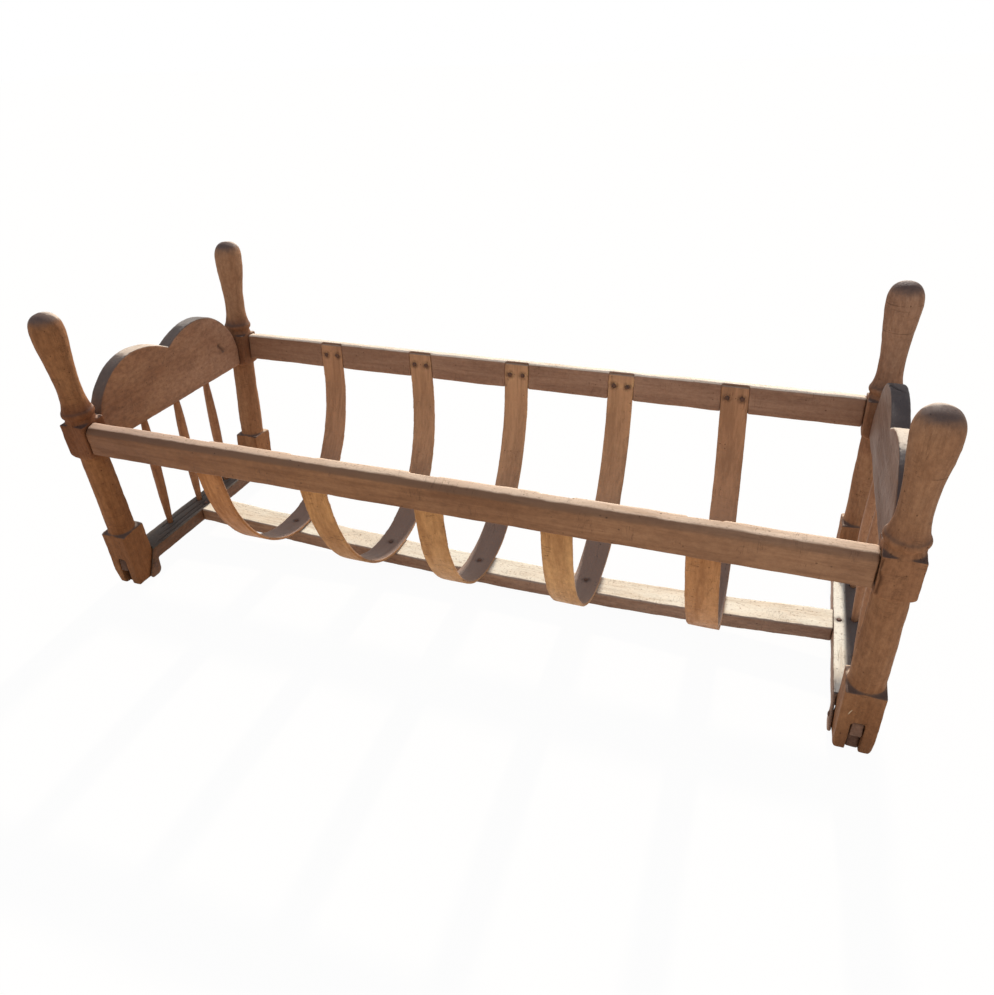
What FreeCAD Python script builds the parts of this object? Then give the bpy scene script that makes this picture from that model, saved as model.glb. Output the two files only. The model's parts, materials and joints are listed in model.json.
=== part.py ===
import FreeCAD, Part
import math
import os

# Cradle with four raked turned posts, two side rails, five bent ribs nailed to a
# stretcher, and two lobed end boards standing on spindles.
# Lengths are millimetres. X runs along the cradle, Y across it and Z up, with the origin
# on the floor under its middle. Heights on posts and side rails are taken along the post.

# Frame
post_spacing_x = 1000.0
foot_spacing_y = 317.0
post_rake = 4.3

# Posts
block_side = 40.5
block_corner_ease = 0.8
foot_side = 42.5
foot_block_height = 92.5
foot_shoulder_round = 3.0
foot_bottom_round = 6.5
shaft_foot_dia = 38.4
shaft_top_dia = 37.0
rail_block_below_rail = 9.0
rail_block_above_rail = 1.5
rail_block_lower_round = 8.0
rail_block_upper_round = 1.5

# Finials: ring, collar, neck, club and dome, stacked on the block that carries the rails
groove_dia = 35.0
ring_swell = 2.5
ring_height = 6.0
collar_swell = 4.5
collar_height = 12.0
neck_dia = 32.0
neck_rise = 32.0
club_dia = 43.6
club_rise = 76.0
dome_rise = 26.0
cove_pull = 0.55
cove_flare = 0.25
club_pull = 0.3333
dome_pull = 0.65

# Side rails
rail_bottom = 231.5
rail_height = 41.0
rail_thickness = 21.0
rail_setback = 2.6
rail_outer_round = 9.0
rail_inner_round = 4.5
rail_lower_round = 1.5
rail_tenon_thickness = 10.0
rail_tenon_shoulder = 5.0
rail_tenon_length = 26.0

# End boards
board_thickness = 20.5
board_below_rail = 5.0
lobe_rise = 105.5
lobe_spacing = 134.0
cusp_drop = 19.5
lobe_upright = 8.2
board_edge_round = 1.5
board_tenon_thickness = 9.0
board_tenon_height = 16.0
board_tenon_rise = 5.0
board_tenon_length = 14.0

# End rails
end_rail_top = 46.3
end_rail_thickness = 20.7
end_rail_width = 38.4
end_rail_inset = 4.0
end_rail_edge_round = 1.5
foot_tenon_width = 13.0
foot_tenon_shoulder = 1.5
foot_tenon_setback = 1.0
tongue_setback = 9.0
ear_lap = 24.0
ear_floor_gap = 0.8
ear_heel = 0.5
ear_toe_round = 8.0
ear_tip_round = 5.0

# Stretcher
stretcher_width = 41.0
stretcher_thickness = 20.0
stretcher_left_sag = 17.0
stretcher_right_sag = 29.0
stretcher_centre_y = -6.0
stretcher_edge_round = 1.5
stretcher_tenon_width = 30.0
stretcher_tenon_thickness = 11.0
stretcher_tenon_length = 15.0

# Ribs, with how far each one's foot and front top stand to the right of its back top
rib_spacing = 158.7
rib_row_centre = -2.0
rib_feet_shift = [9.0, 15.0, 0.0, 0.0, 10.0]
rib_front_shift = [9.5, 6.5, 6.5, 3.5, 3.0]
rib_width = 37.0
rib_thickness = 4.0
rib_spring_below_rail = 21.5
rib_top_below_rail = 3.0
rib_fullness = 2.15
rib_curve_points = 16

# Spindles
spindle_spacing = 73.0
spindle_foot_dia = 8.0
spindle_belly_dia = 15.0
spindle_belly_height = 105.0
spindle_top_dia = 9.5
spindle_tenon_length = 11.0

# Nails
nail_head_dia = 7.5
nail_head_height = 1.6
nail_crown_dia = 4.0
nail_shank_dia = 3.0
nail_length = 19.0
nail_point_length = 4.0
nail_tip_dia = 1.0
rail_nail_spacing = 20.0
rail_nail_drop = 20.0
ear_nail_lap = 8.0
ear_nail_height = 19.0
tenon_nail_inset = 7.0

# Fits
joint_gap = 0.15
round_gap = 0.3
mortise_bottom_gap = 0.5
seat_gap = 0.3

# Oversize of cutting tools past what they cut, and the error allowed in finding an edge
past = 10.0
find_error = 1e-6

Vector = FreeCAD.Vector
ORIGIN = Vector(0, 0, 0)
AXIS_X = Vector(1, 0, 0)
AXIS_Y = Vector(0, 1, 0)
AXIS_Z = Vector(0, 0, 1)

# Worked-out sizes
rake_sin = math.sin(math.radians(post_rake))
rake_cos = math.cos(math.radians(post_rake))
half_block = block_side / 2
half_foot = foot_side / 2
half_length = post_spacing_x / 2
foot_y = foot_spacing_y / 2
rail_top = rail_bottom + rail_height
rail_block_bottom = rail_bottom - rail_block_below_rail
rail_block_top = rail_top + rail_block_above_rail
rail_outer = -(half_block - rail_setback)
rail_inner = rail_outer + rail_thickness
rail_half_length = half_length - half_block
board_bottom = rail_bottom - board_below_rail
lobe_top = board_bottom + lobe_rise
cusp_height = lobe_top - cusp_drop
rib_spring_height = rail_top - rib_spring_below_rail
end_rail_bottom = end_rail_top - end_rail_thickness
end_rail_inner_x = -half_length + half_foot + end_rail_inset
end_rail_outer_x = end_rail_inner_x - end_rail_width
stretcher_half = -end_rail_inner_x
rib_dual = rib_fullness / (rib_fullness - 1)
rib_count = len(rib_feet_shift)
rib_places = [rib_row_centre + (i - (rib_count - 1) / 2) * rib_spacing for i in range(rib_count)]
spindle_places = [i * spindle_spacing for i in (-1, 0, 1)]

# The front side's own frame: a post's foot at its origin, its axis up along Z
front_side = FreeCAD.Placement(Vector(0, -foot_y, 0), FreeCAD.Rotation(AXIS_X, post_rake))


def placed(shape, placement):
    moved = shape.copy()
    moved.Placement = placement.multiply(moved.Placement)
    return moved


def mirrored(shape, normal):
    return shape.mirror(ORIGIN, normal)


def block(x_range, y_range, z_range):
    size = [high - low for low, high in (x_range, y_range, z_range)]
    return Part.makeBox(size[0], size[1], size[2], Vector(x_range[0], y_range[0], z_range[0]))


def about(centre, width):
    return (centre - width / 2, centre + width / 2)


def grown(span, gap):
    return (span[0] - gap, span[1] + gap)


def prism(points_or_edges, direction):
    return Part.Face(Part.Wire(points_or_edges)).extrude(direction)


def line(start, end):
    return Part.LineSegment(start, end).toShape()


def arc(start, middle, end):
    return Part.Arc(start, middle, end).toShape()


def bezier(points):
    curve = Part.BezierCurve()
    curve.setPoles(points)
    return curve.toShape()


def turned(edges):
    """Solid of revolution about Z from edges that start and end on the axis."""
    first = edges[0].Vertexes[0].Point
    last = edges[-1].Vertexes[-1].Point
    profile = Part.Face(Part.Wire(edges + [line(last, first)]))
    return profile.revolve(ORIGIN, AXIS_Z, 360)


def edges_where(shape, test):
    return [edge for edge in shape.Edges if test(edge)]


def rounded(shape, radius, test):
    return shape.makeFillet(radius, edges_where(shape, test))


def runs_along(edge, axis):
    points = [vertex.Point for vertex in edge.Vertexes]
    return len(points) == 2 and abs(abs((points[1] - points[0]).normalize().dot(axis)) - 1) < find_error


def all_at(edge, coordinate, value):
    return all(abs(getattr(v.Point, coordinate) - value) < find_error for v in edge.Vertexes)


def one_solid(shape):
    solids = shape.removeSplitter().Solids
    if len(solids) != 1:
        raise ValueError("expected one solid, found %d" % len(solids))
    return solids[0]


def post_face_y(z, half_side=half_block):
    """Y of a back post's face towards the middle of the cradle, at height z."""
    return foot_y + z * rake_sin / rake_cos - half_side / rake_cos


def foot_face_y(z):
    """Y of a back post's foot towards the middle of the cradle, at height z."""
    return post_face_y(z, half_foot)


def stretcher_top_z(x):
    """Height of the stretcher's top: a cubic that hangs lower towards its right end."""
    t = (x + stretcher_half) / (2 * stretcher_half)
    sag = (1 - t) * stretcher_left_sag + t * stretcher_right_sag
    return end_rail_top - 3 * t * (1 - t) * sag


# Posts
def square_block(side, bottom, top, lower_round, upper_round):
    """Square block of a post whose corners are eased and rounded at its shoulders."""
    corner = side / math.sqrt(2) - block_corner_ease
    envelope = Part.makeCylinder(corner, top - bottom, Vector(0, 0, bottom))
    envelope = rounded(envelope, upper_round, lambda e: all_at(e, "z", top))
    if lower_round:
        envelope = rounded(envelope, lower_round, lambda e: all_at(e, "z", bottom))
    return envelope.common(block(about(0, side), about(0, side), (bottom, top)))


def foot_block():
    """Foot of a front post, cut level with the floor and rounded along its bottom."""
    width = about(0, foot_side)
    foot = placed(block(width, width, (-past, foot_block_height)), front_side)
    reach = about(0, 2 * foot_spacing_y)
    foot = foot.cut(block(reach, reach, (-2 * past, 0)))
    foot = rounded(foot, foot_bottom_round, lambda e: all_at(e, "z", 0))
    eased = square_block(foot_side, -past, foot_block_height, 0, foot_shoulder_round)
    return foot.common(placed(eased, front_side))


def finial():
    base = rail_block_top
    ring_top = base + ring_height
    collar_top = ring_top + collar_height
    neck = collar_top + neck_rise
    club = neck + club_rise
    top = club + dome_rise
    groove = groove_dia / 2
    ring = groove + ring_swell
    collar = groove + collar_swell
    collar_rim = (groove + collar) / 2
    neck_r = neck_dia / 2
    club_r = club_dia / 2
    cove = (neck - collar_top) * cove_pull
    rise = (club - neck) * club_pull
    dome = (top - club) * dome_pull
    edges = [
        line(Vector(0, 0, base), Vector(groove, 0, base)),
        arc(
            Vector(groove, 0, base),
            Vector(ring, 0, base + ring_height / 2),
            Vector(groove, 0, ring_top),
        ),
        arc(
            Vector(groove, 0, ring_top),
            Vector(collar, 0, ring_top + collar_height / 2),
            Vector(collar_rim, 0, collar_top),
        ),
        bezier(
            [
                Vector(collar_rim, 0, collar_top),
                Vector(neck_r + (collar_rim - neck_r) * cove_flare, 0, collar_top + cove / 2),
                Vector(neck_r, 0, neck - cove),
                Vector(neck_r, 0, neck),
            ]
        ),
        bezier(
            [
                Vector(neck_r, 0, neck),
                Vector(neck_r, 0, neck + rise),
                Vector(club_r, 0, club - rise),
                Vector(club_r, 0, club),
            ]
        ),
        bezier(
            [
                Vector(club_r, 0, club),
                Vector(club_r, 0, club + dome),
                Vector(club_r * dome_pull, 0, top),
                Vector(0, 0, top),
            ]
        ),
    ]
    return turned(edges)


def front_left_post():
    shaft = Part.makeCone(
        shaft_foot_dia / 2,
        shaft_top_dia / 2,
        rail_block_bottom - foot_block_height,
        Vector(0, 0, foot_block_height),
    )
    rail_block = square_block(
        block_side,
        rail_block_bottom,
        rail_block_top,
        rail_block_lower_round,
        rail_block_upper_round,
    )
    turned_part = placed(shaft.fuse([rail_block, finial()]), front_side)
    post = foot_block().fuse(turned_part)
    post.translate(Vector(-half_length, 0, 0))
    mortises = [
        rail_tenon(joint_gap, mortise_bottom_gap),
        board_tenon(joint_gap, mortise_bottom_gap),
        foot_slot(),
        ear_nail_hole(),
    ]
    return one_solid(post.cut(mortises))


# Side rails
def rail_tenon(gap, extra_length):
    """Tenon of the front rail's left end, or with gaps the mortise it fits."""
    middle = (rail_outer + rail_inner) / 2
    span_x = (-rail_half_length - rail_tenon_length - extra_length, -rail_half_length)
    span_y = grown(about(middle, rail_tenon_thickness), gap)
    span_z = grown((rail_bottom + rail_tenon_shoulder, rail_top - rail_tenon_shoulder), gap)
    return placed(block(span_x, span_y, span_z), front_side)


def side_rail(back):
    """Front rail, or with back the mirror image of the back rail."""
    bar = block((-rail_half_length, rail_half_length), (rail_outer, rail_inner), (rail_bottom, rail_top))
    bar = rounded(bar, rail_outer_round, lambda e: all_at(e, "y", rail_outer) and all_at(e, "z", rail_top))
    bar = rounded(bar, rail_inner_round, lambda e: all_at(e, "y", rail_inner) and all_at(e, "z", rail_top))
    bar = rounded(bar, rail_lower_round, lambda e: runs_along(e, AXIS_X) and all_at(e, "z", rail_bottom))
    tenon = rail_tenon(0, 0)
    rail = placed(bar, front_side).fuse([tenon, mirrored(tenon, AXIS_X)])
    cuts = [rib_housing(i, back) for i in range(rib_count)]
    cuts += rail_nail_holes(back)
    return one_solid(rail.cut(cuts))


# Ribs
def rib_slab(index, gap):
    """Upright slice across the cradle that bounds one rib, slanted by its foot's and front's shifts."""
    foot_z = stretcher_top_z(rib_places[index] + rib_feet_shift[index])
    middle_shift = rib_front_shift[index] / 2
    slope = (rib_feet_shift[index] - middle_shift) / (rib_spring_height - foot_z)
    half = rib_width / 2 + gap
    reach = foot_spacing_y
    skew = middle_shift * reach / hoop_axes(index, 0)[0]
    corners = []
    for z, side in ((-past, -1), (-past, 1), (rail_top + reach, 1), (rail_top + reach, -1)):
        x = rib_places[index] + middle_shift + skew + slope * (rib_spring_height - z) + side * half
        corners.append(Vector(x, -reach, z))
    sides = [line(corners[i], corners[(i + 1) % 4]) for i in range(4)]
    return prism(sides, Vector(-2 * skew, 2 * reach, 0))


def rib_seat_z(index):
    """Height of a rib's underside, just clear of the sagging stretcher."""
    foot_x = rib_places[index] + rib_feet_shift[index]
    return max(stretcher_top_z(foot_x + side * rib_width / 2) for side in (-1, 1)) + seat_gap


def hoop_axes(index, grow):
    """Half axes of a hoop's superellipse, tangent to the side rails' inner faces."""
    depth = rib_spring_height - rib_seat_z(index) - rib_thickness
    reach = foot_y * rake_cos - rail_inner + rib_spring_height * rake_sin
    width = (reach ** rib_dual - (depth * rake_sin) ** rib_dual) ** (1 / rib_dual) / rake_cos
    return width + grow, depth + grow


def hoop_drop(y, width, depth):
    """How far a hoop with these half axes hangs below its springing at a distance y."""
    return depth * (1 - (y / width) ** rib_fullness) ** (1 / rib_fullness)


def hoop_side(index, grow):
    """Edges of one face of a rib, from the top of its back leg to the top of its front leg."""
    width, depth = hoop_axes(index, grow)
    across = (width * rake_cos) ** rib_dual
    touch = (across + (depth * rake_sin) ** rib_dual) ** (1 / rib_dual)
    tangent_y = width * (width * rake_cos / touch) ** (rib_dual - 1)
    tangent_z = rib_spring_height - depth * (depth * rake_sin / touch) ** (rib_dual - 1)
    top_z = rail_top * rake_cos - rib_top_below_rail
    top_y = tangent_y + (top_z - tangent_z) * rake_sin / rake_cos
    last_angle = math.acos(tangent_y / width)
    back_half = [Vector(0, tangent_y, tangent_z)]
    for step in range(1, rib_curve_points):
        angle = last_angle + (math.pi / 2 - last_angle) * step / rib_curve_points
        y = width * math.cos(angle)
        back_half.append(Vector(0, y, rib_spring_height - hoop_drop(y, width, depth)))
    front_half = [Vector(0, -point.y, point.z) for point in reversed(back_half)]
    curve = Part.BSplineCurve()
    curve.interpolate(
        Points=back_half + [Vector(0, 0, rib_spring_height - depth)] + front_half,
        InitialTangent=Vector(0, -rake_sin, -rake_cos),
        FinalTangent=Vector(0, -rake_sin, rake_cos),
    )
    return [
        line(Vector(0, top_y, top_z), back_half[0]),
        curve.toShape(),
        line(front_half[-1], Vector(0, -top_y, top_z)),
    ]


def rib(index):
    inner = hoop_side(index, 0)
    outer = hoop_side(index, rib_thickness)
    caps = []
    for side in (0, 2):
        tops = [max(edges[side].Vertexes, key=lambda v: v.Point.z).Point for edges in (inner, outer)]
        caps.append(line(tops[0], tops[1]))
    outline = Part.Wire(Part.__sortEdges__(inner + outer + caps))
    reach = rib_width + abs(rib_feet_shift[index]) + abs(rib_front_shift[index]) + past
    strip = Part.Face(outline).extrude(Vector(2 * reach, 0, 0))
    strip.translate(Vector(rib_places[index] - reach, 0, 0))
    strip = strip.common(rib_slab(index, 0))
    holes = rail_nail_holes(False) + [mirrored(hole, AXIS_Y) for hole in rail_nail_holes(True)]
    return one_solid(strip.cut(holes + [stretcher_nail_hole(index)]))


def rib_housing(index, back):
    """Shallow recess across a side rail's inner face for one rib."""
    depth = rib_thickness + joint_gap
    span_y = (rail_inner - depth, rail_inner + past)
    wide = grown(about(rib_places[index], rib_width), rib_front_shift[index] + past)
    recess = placed(block(wide, span_y, (rail_bottom - past, rail_top + past)), front_side)
    slab = rib_slab(index, joint_gap)
    return recess.common(mirrored(slab, AXIS_Y) if back else slab)


# Stretcher and end rails
def stretcher_tenon(gap, extra_length):
    """Tenon of the stretcher's left end, or with gaps the mortise it fits."""
    span_x = (-stretcher_half - stretcher_tenon_length - extra_length, -stretcher_half)
    span_y = grown(about(stretcher_centre_y, stretcher_tenon_width), gap)
    middle = end_rail_top - stretcher_thickness / 2
    span_z = grown(about(middle, stretcher_tenon_thickness), gap)
    return block(span_x, span_y, span_z)


def stretcher():
    third = stretcher_half / 3
    edges = []
    ends = []
    for drop in (0, stretcher_thickness):
        top = end_rail_top - drop
        left = Vector(-stretcher_half, 0, top)
        left_pole = Vector(-third, 0, top - stretcher_left_sag)
        right_pole = Vector(third, 0, top - stretcher_right_sag)
        right = Vector(stretcher_half, 0, top)
        edges.append(bezier([left, left_pole, right_pole, right]))
        ends.append((left, right))
    edges += [line(ends[0][i], ends[1][i]) for i in (0, 1)]
    bar = prism(Part.__sortEdges__(edges), Vector(0, stretcher_width, 0))
    bar.translate(Vector(0, stretcher_centre_y - stretcher_width / 2, 0))
    bar = rounded(bar, stretcher_edge_round, lambda e: e.Length > stretcher_half)
    tenon = stretcher_tenon(0, 0)
    bar = bar.fuse([tenon, mirrored(tenon, AXIS_X)])
    holes = [stretcher_nail_hole(i) for i in range(rib_count)]
    holes += [tenon_nail_hole(), mirrored(tenon_nail_hole(), AXIS_X)]
    return one_solid(bar.cut(holes))


def foot_tenon():
    """Through tenon of the left end rail in its front post's foot, with the tongue below it."""
    outer_face_y = foot_y + (end_rail_bottom * rake_sin + half_foot) / rake_cos
    span_x = about(-half_length, foot_tenon_width)
    span_z = (end_rail_bottom, end_rail_top - foot_tenon_shoulder)
    tenon = block(span_x, (foot_tenon_setback - outer_face_y, 0), span_z)
    tongue_y = (foot_tenon_setback + tongue_setback - outer_face_y, -foot_face_y(end_rail_bottom))
    return tenon.fuse(block(span_x, tongue_y, (ear_floor_gap, end_rail_bottom)))


def foot_slot():
    """Slot in a front post's foot, open to the floor, for the end rail's tenon."""
    span_x = grown(about(-half_length, foot_tenon_width), joint_gap)
    span_z = (-past, end_rail_top - foot_tenon_shoulder + joint_gap)
    return block(span_x, (-foot_spacing_y, 0), span_z)


def ear():
    """Lap of the left end rail on the inner face of its front post's foot."""
    x = -half_length + half_foot
    seam_top = -foot_face_y(end_rail_top)
    seam_foot = -foot_face_y(0) - ear_lap
    heel = -foot_face_y(ear_floor_gap) + ear_heel
    points = [
        Vector(x, seam_top, end_rail_top),
        Vector(x, seam_foot, ear_floor_gap),
        Vector(x, heel - ear_toe_round, ear_floor_gap),
        Vector(x, heel, ear_floor_gap + ear_toe_round),
        Vector(x, heel, end_rail_top),
    ]
    ease = ear_toe_round * (1 - math.sqrt(0.5))
    toe_middle = Vector(x, heel - ease, ear_floor_gap + ease)
    edges = [
        line(points[0], points[1]),
        line(points[1], points[2]),
        arc(points[2], toe_middle, points[3]),
        line(points[3], points[4]),
        line(points[4], points[0]),
    ]
    lap = prism(edges, Vector(end_rail_inset, 0, 0))
    return rounded(lap, ear_tip_round, lambda e: all_at(e, "y", seam_foot))


def left_end_rail():
    inner_top = foot_face_y(end_rail_top)
    inner_bottom = foot_face_y(end_rail_bottom)
    corners = [
        Vector(end_rail_outer_x, -inner_top, end_rail_top),
        Vector(end_rail_outer_x, inner_top, end_rail_top),
        Vector(end_rail_outer_x, inner_bottom, end_rail_bottom),
        Vector(end_rail_outer_x, -inner_bottom, end_rail_bottom),
    ]
    sides = [line(corners[i], corners[(i + 1) % 4]) for i in range(4)]
    bar = prism(sides, Vector(end_rail_width, 0, 0))
    bar = rounded(bar, end_rail_edge_round, lambda e: runs_along(e, AXIS_Y))
    front_end = foot_tenon().fuse(ear())
    rail = bar.fuse([front_end, mirrored(front_end, AXIS_Y)])
    cuts = [stretcher_tenon(joint_gap, mortise_bottom_gap), tenon_nail_hole()]
    cuts += [spindle_socket(y, end_rail_top, -1, spindle_foot_dia) for y in spindle_places]
    cuts += [ear_nail_hole(), mirrored(ear_nail_hole(), AXIS_Y)]
    return one_solid(rail.cut(cuts))


# End boards
def board_tenon(gap, extra_length):
    """Tenon of the left end board in its front post, or with gaps the mortise it fits."""
    root_y = -post_face_y(board_bottom + board_tenon_rise)
    span_x = grown(about(-half_length, board_tenon_thickness), gap)
    span_y = (root_y - board_tenon_length - extra_length, root_y + board_tenon_length)
    low = board_bottom + board_tenon_rise
    return block(span_x, span_y, grown((low, low + board_tenon_height), gap))


def lobe_arc(peak, end):
    """Arc that is level at its peak and passes through its end."""
    across = end.y - peak.y
    drop = peak.z - end.z
    radius = (across ** 2 + drop ** 2) / (2 * drop)
    turn = math.atan2(across, radius - drop) / 2
    middle = Vector(peak.x, peak.y + radius * math.sin(turn), peak.z - radius + radius * math.cos(turn))
    return arc(peak, middle, end)


def left_end_board():
    x = -half_length - board_thickness / 2
    reach = post_face_y(board_bottom) - lobe_spacing / 2
    lobe_foot_height = lobe_top - reach + lobe_upright
    cusp = Vector(x, 0, cusp_height)
    edges = []
    for side in (-1, 1):
        peak = Vector(x, side * lobe_spacing / 2, lobe_top)
        lobe_foot = Vector(x, side * post_face_y(lobe_foot_height), lobe_foot_height)
        corner = Vector(x, side * post_face_y(board_bottom), board_bottom)
        edges += [lobe_arc(peak, cusp), lobe_arc(peak, lobe_foot), line(lobe_foot, corner)]
        edges.append(line(corner, Vector(x, 0, board_bottom)))
    board = prism(Part.__sortEdges__(edges), Vector(board_thickness, 0, 0)).removeSplitter()
    board = rounded(board, board_edge_round, lambda e: isinstance(e.Curve, Part.Circle))
    tenon = board_tenon(0, 0)
    board = board.fuse([tenon, mirrored(tenon, AXIS_Y)])
    sockets = [spindle_socket(y, board_bottom, 1, spindle_top_dia) for y in spindle_places]
    return one_solid(board.cut(sockets))


# Spindles
def spindle(y):
    foot_r = spindle_foot_dia / 2
    top_r = spindle_top_dia / 2
    low = end_rail_top - spindle_tenon_length
    high = board_bottom + spindle_tenon_length
    belly = Vector(spindle_belly_dia / 2, 0, end_rail_top + spindle_belly_height)
    edges = [
        line(Vector(0, 0, low), Vector(foot_r, 0, low)),
        line(Vector(foot_r, 0, low), Vector(foot_r, 0, end_rail_top)),
        arc(Vector(foot_r, 0, end_rail_top), belly, Vector(top_r, 0, board_bottom)),
        line(Vector(top_r, 0, board_bottom), Vector(top_r, 0, high)),
        line(Vector(top_r, 0, high), Vector(0, 0, high)),
    ]
    stick = turned(edges)
    stick.translate(Vector(-half_length, y, 0))
    return stick


def spindle_socket(y, face_z, way, diameter):
    """Blind hole for a spindle's end, drilled up or down from a face of the left end."""
    depth = spindle_tenon_length + mortise_bottom_gap
    start = Vector(-half_length, y, face_z)
    return Part.makeCylinder(diameter / 2 + round_gap, depth, start, AXIS_Z * way)


# Nails
def nail(point, outward):
    """Nail whose head rests on a face at a point, with its shank driven inwards."""
    head = nail_head_dia / 2
    shank = nail_shank_dia / 2
    tip = nail_tip_dia / 2
    crown = nail_crown_dia / 2
    taper_z = nail_point_length - nail_length
    edges = [
        line(Vector(0, 0, -nail_length), Vector(tip, 0, -nail_length)),
        line(Vector(tip, 0, -nail_length), Vector(shank, 0, taper_z)),
        line(Vector(shank, 0, taper_z), Vector(shank, 0, 0)),
        line(Vector(shank, 0, 0), Vector(head, 0, 0)),
        line(Vector(head, 0, 0), Vector(crown, 0, nail_head_height)),
        line(Vector(crown, 0, nail_head_height), Vector(0, 0, nail_head_height)),
    ]
    turn = FreeCAD.Rotation(AXIS_Z, outward)
    return placed(turned(edges), FreeCAD.Placement(point, turn))


def nail_hole(point, outward):
    radius = nail_shank_dia / 2 + round_gap
    start = point + outward * past
    return Part.makeCylinder(radius, nail_length + round_gap + past, start, outward * -1)


def rail_nail_spots(back):
    """Places of the front rail's nails, or with back the mirror images of the back rail's."""
    height = rail_top - rail_nail_drop
    spots = []
    for place, shift in zip(rib_places, rib_front_shift):
        centre = place if back else place + shift
        for side in (-1, 1):
            local = Vector(centre + side * rail_nail_spacing / 2, rail_inner, height)
            spots.append(front_side.multVec(local))
    return spots


def rail_nail_holes(back):
    outward = front_side.Rotation.multVec(AXIS_Y)
    return [nail_hole(spot, outward) for spot in rail_nail_spots(back)]


def rail_nails(back):
    outward = front_side.Rotation.multVec(AXIS_Y)
    return Part.makeCompound([nail(spot, outward) for spot in rail_nail_spots(back)])


def stretcher_nail_spot(index):
    width, depth = hoop_axes(index, 0)
    reach = abs(stretcher_centre_y) + nail_head_dia / 2
    z = rib_spring_height - hoop_drop(reach, width, depth) + seat_gap
    return Vector(rib_places[index] + rib_feet_shift[index], stretcher_centre_y, z)


def stretcher_nail_hole(index):
    return nail_hole(stretcher_nail_spot(index), AXIS_Z)


def stretcher_nails():
    return Part.makeCompound([nail(stretcher_nail_spot(i), AXIS_Z) for i in range(rib_count)])


def tenon_nail_spot():
    return Vector(-stretcher_half - tenon_nail_inset, stretcher_centre_y, end_rail_top)


def tenon_nail_hole():
    return nail_hole(tenon_nail_spot(), AXIS_Z)


def ear_nail_spot():
    y = -foot_face_y(ear_nail_height) - ear_nail_lap
    return Vector(end_rail_inner_x, y, ear_nail_height)


def ear_nail_hole():
    return nail_hole(ear_nail_spot(), AXIS_X)


def end_rail_nails():
    """Nails of the left end rail: one through the stretcher's tenon and one in each ear."""
    ear_nail = nail(ear_nail_spot(), AXIS_X)
    return Part.makeCompound([nail(tenon_nail_spot(), AXIS_Z), ear_nail, mirrored(ear_nail, AXIS_Y)])


def build():
    """All pieces of the cradle by name."""
    pieces = {}
    post = front_left_post()
    pieces["post_front_left"] = post
    pieces["post_front_right"] = mirrored(post, AXIS_X)
    pieces["post_back_left"] = mirrored(post, AXIS_Y)
    pieces["post_back_right"] = mirrored(mirrored(post, AXIS_X), AXIS_Y)
    pieces["front_rail"] = side_rail(False)
    pieces["back_rail"] = mirrored(side_rail(True), AXIS_Y)
    ends = {
        "end_board": left_end_board(),
        "end_rail": left_end_rail(),
        "end_rail_nails": end_rail_nails(),
    }
    for place, y in zip(("front", "middle", "back"), spindle_places):
        ends["spindle_" + place] = spindle(y)
    for name, shape in ends.items():
        pieces["left_" + name] = shape
        pieces["right_" + name] = mirrored(shape, AXIS_X)
    pieces["stretcher"] = stretcher()
    for index in range(rib_count):
        pieces["rib_%d" % (index + 1)] = rib(index)
    pieces["front_rail_nails"] = rail_nails(False)
    pieces["back_rail_nails"] = mirrored(rail_nails(True), AXIS_Y)
    pieces["stretcher_nails"] = stretcher_nails()
    return pieces


os.makedirs("parts", exist_ok=True)
for name, shape in build().items():
    shape.exportStep("parts/%s.step" % name)
    print("%-22s solids %2d valid %s volume %9.0f" % (name, len(shape.Solids), shape.isValid(), shape.Volume))
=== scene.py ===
# %% [markdown]
# # An old nailed cradle
# This lesson dresses a wooden cradle: four raked turned posts, two side rails, bent ribs nailed to a
# sagging stretcher, and lobed end boards on spindles. The construction model gives every piece its true
# size and place. Here each piece gets worn edges, tool marks, grain, stains and sun-bleached tops.

# %% Load the fixed frame
import json
import math
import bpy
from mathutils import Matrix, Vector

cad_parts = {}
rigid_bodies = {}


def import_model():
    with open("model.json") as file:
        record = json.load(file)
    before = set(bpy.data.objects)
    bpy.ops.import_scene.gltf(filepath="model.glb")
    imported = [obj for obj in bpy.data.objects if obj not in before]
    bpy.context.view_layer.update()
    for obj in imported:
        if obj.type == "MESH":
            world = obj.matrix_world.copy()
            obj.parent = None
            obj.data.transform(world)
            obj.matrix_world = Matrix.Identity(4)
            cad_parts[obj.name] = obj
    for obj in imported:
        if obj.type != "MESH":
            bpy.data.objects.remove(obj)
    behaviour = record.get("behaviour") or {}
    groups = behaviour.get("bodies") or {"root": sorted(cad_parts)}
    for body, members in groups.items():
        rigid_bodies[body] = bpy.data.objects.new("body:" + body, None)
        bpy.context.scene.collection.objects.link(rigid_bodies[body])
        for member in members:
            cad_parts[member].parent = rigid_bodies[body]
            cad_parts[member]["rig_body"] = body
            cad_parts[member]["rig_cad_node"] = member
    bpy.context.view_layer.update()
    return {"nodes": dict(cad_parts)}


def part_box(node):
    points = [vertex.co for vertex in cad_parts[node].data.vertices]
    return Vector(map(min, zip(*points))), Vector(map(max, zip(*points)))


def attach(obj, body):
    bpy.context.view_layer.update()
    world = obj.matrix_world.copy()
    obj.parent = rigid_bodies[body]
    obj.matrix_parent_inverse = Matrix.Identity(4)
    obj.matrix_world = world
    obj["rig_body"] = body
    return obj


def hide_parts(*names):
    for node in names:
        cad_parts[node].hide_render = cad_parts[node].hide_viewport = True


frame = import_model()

from types import SimpleNamespace

import bpy
import numpy as np
from mathutils import Matrix, Vector
from mathutils.bvhtree import BVHTree

nodes = frame["nodes"]

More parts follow.
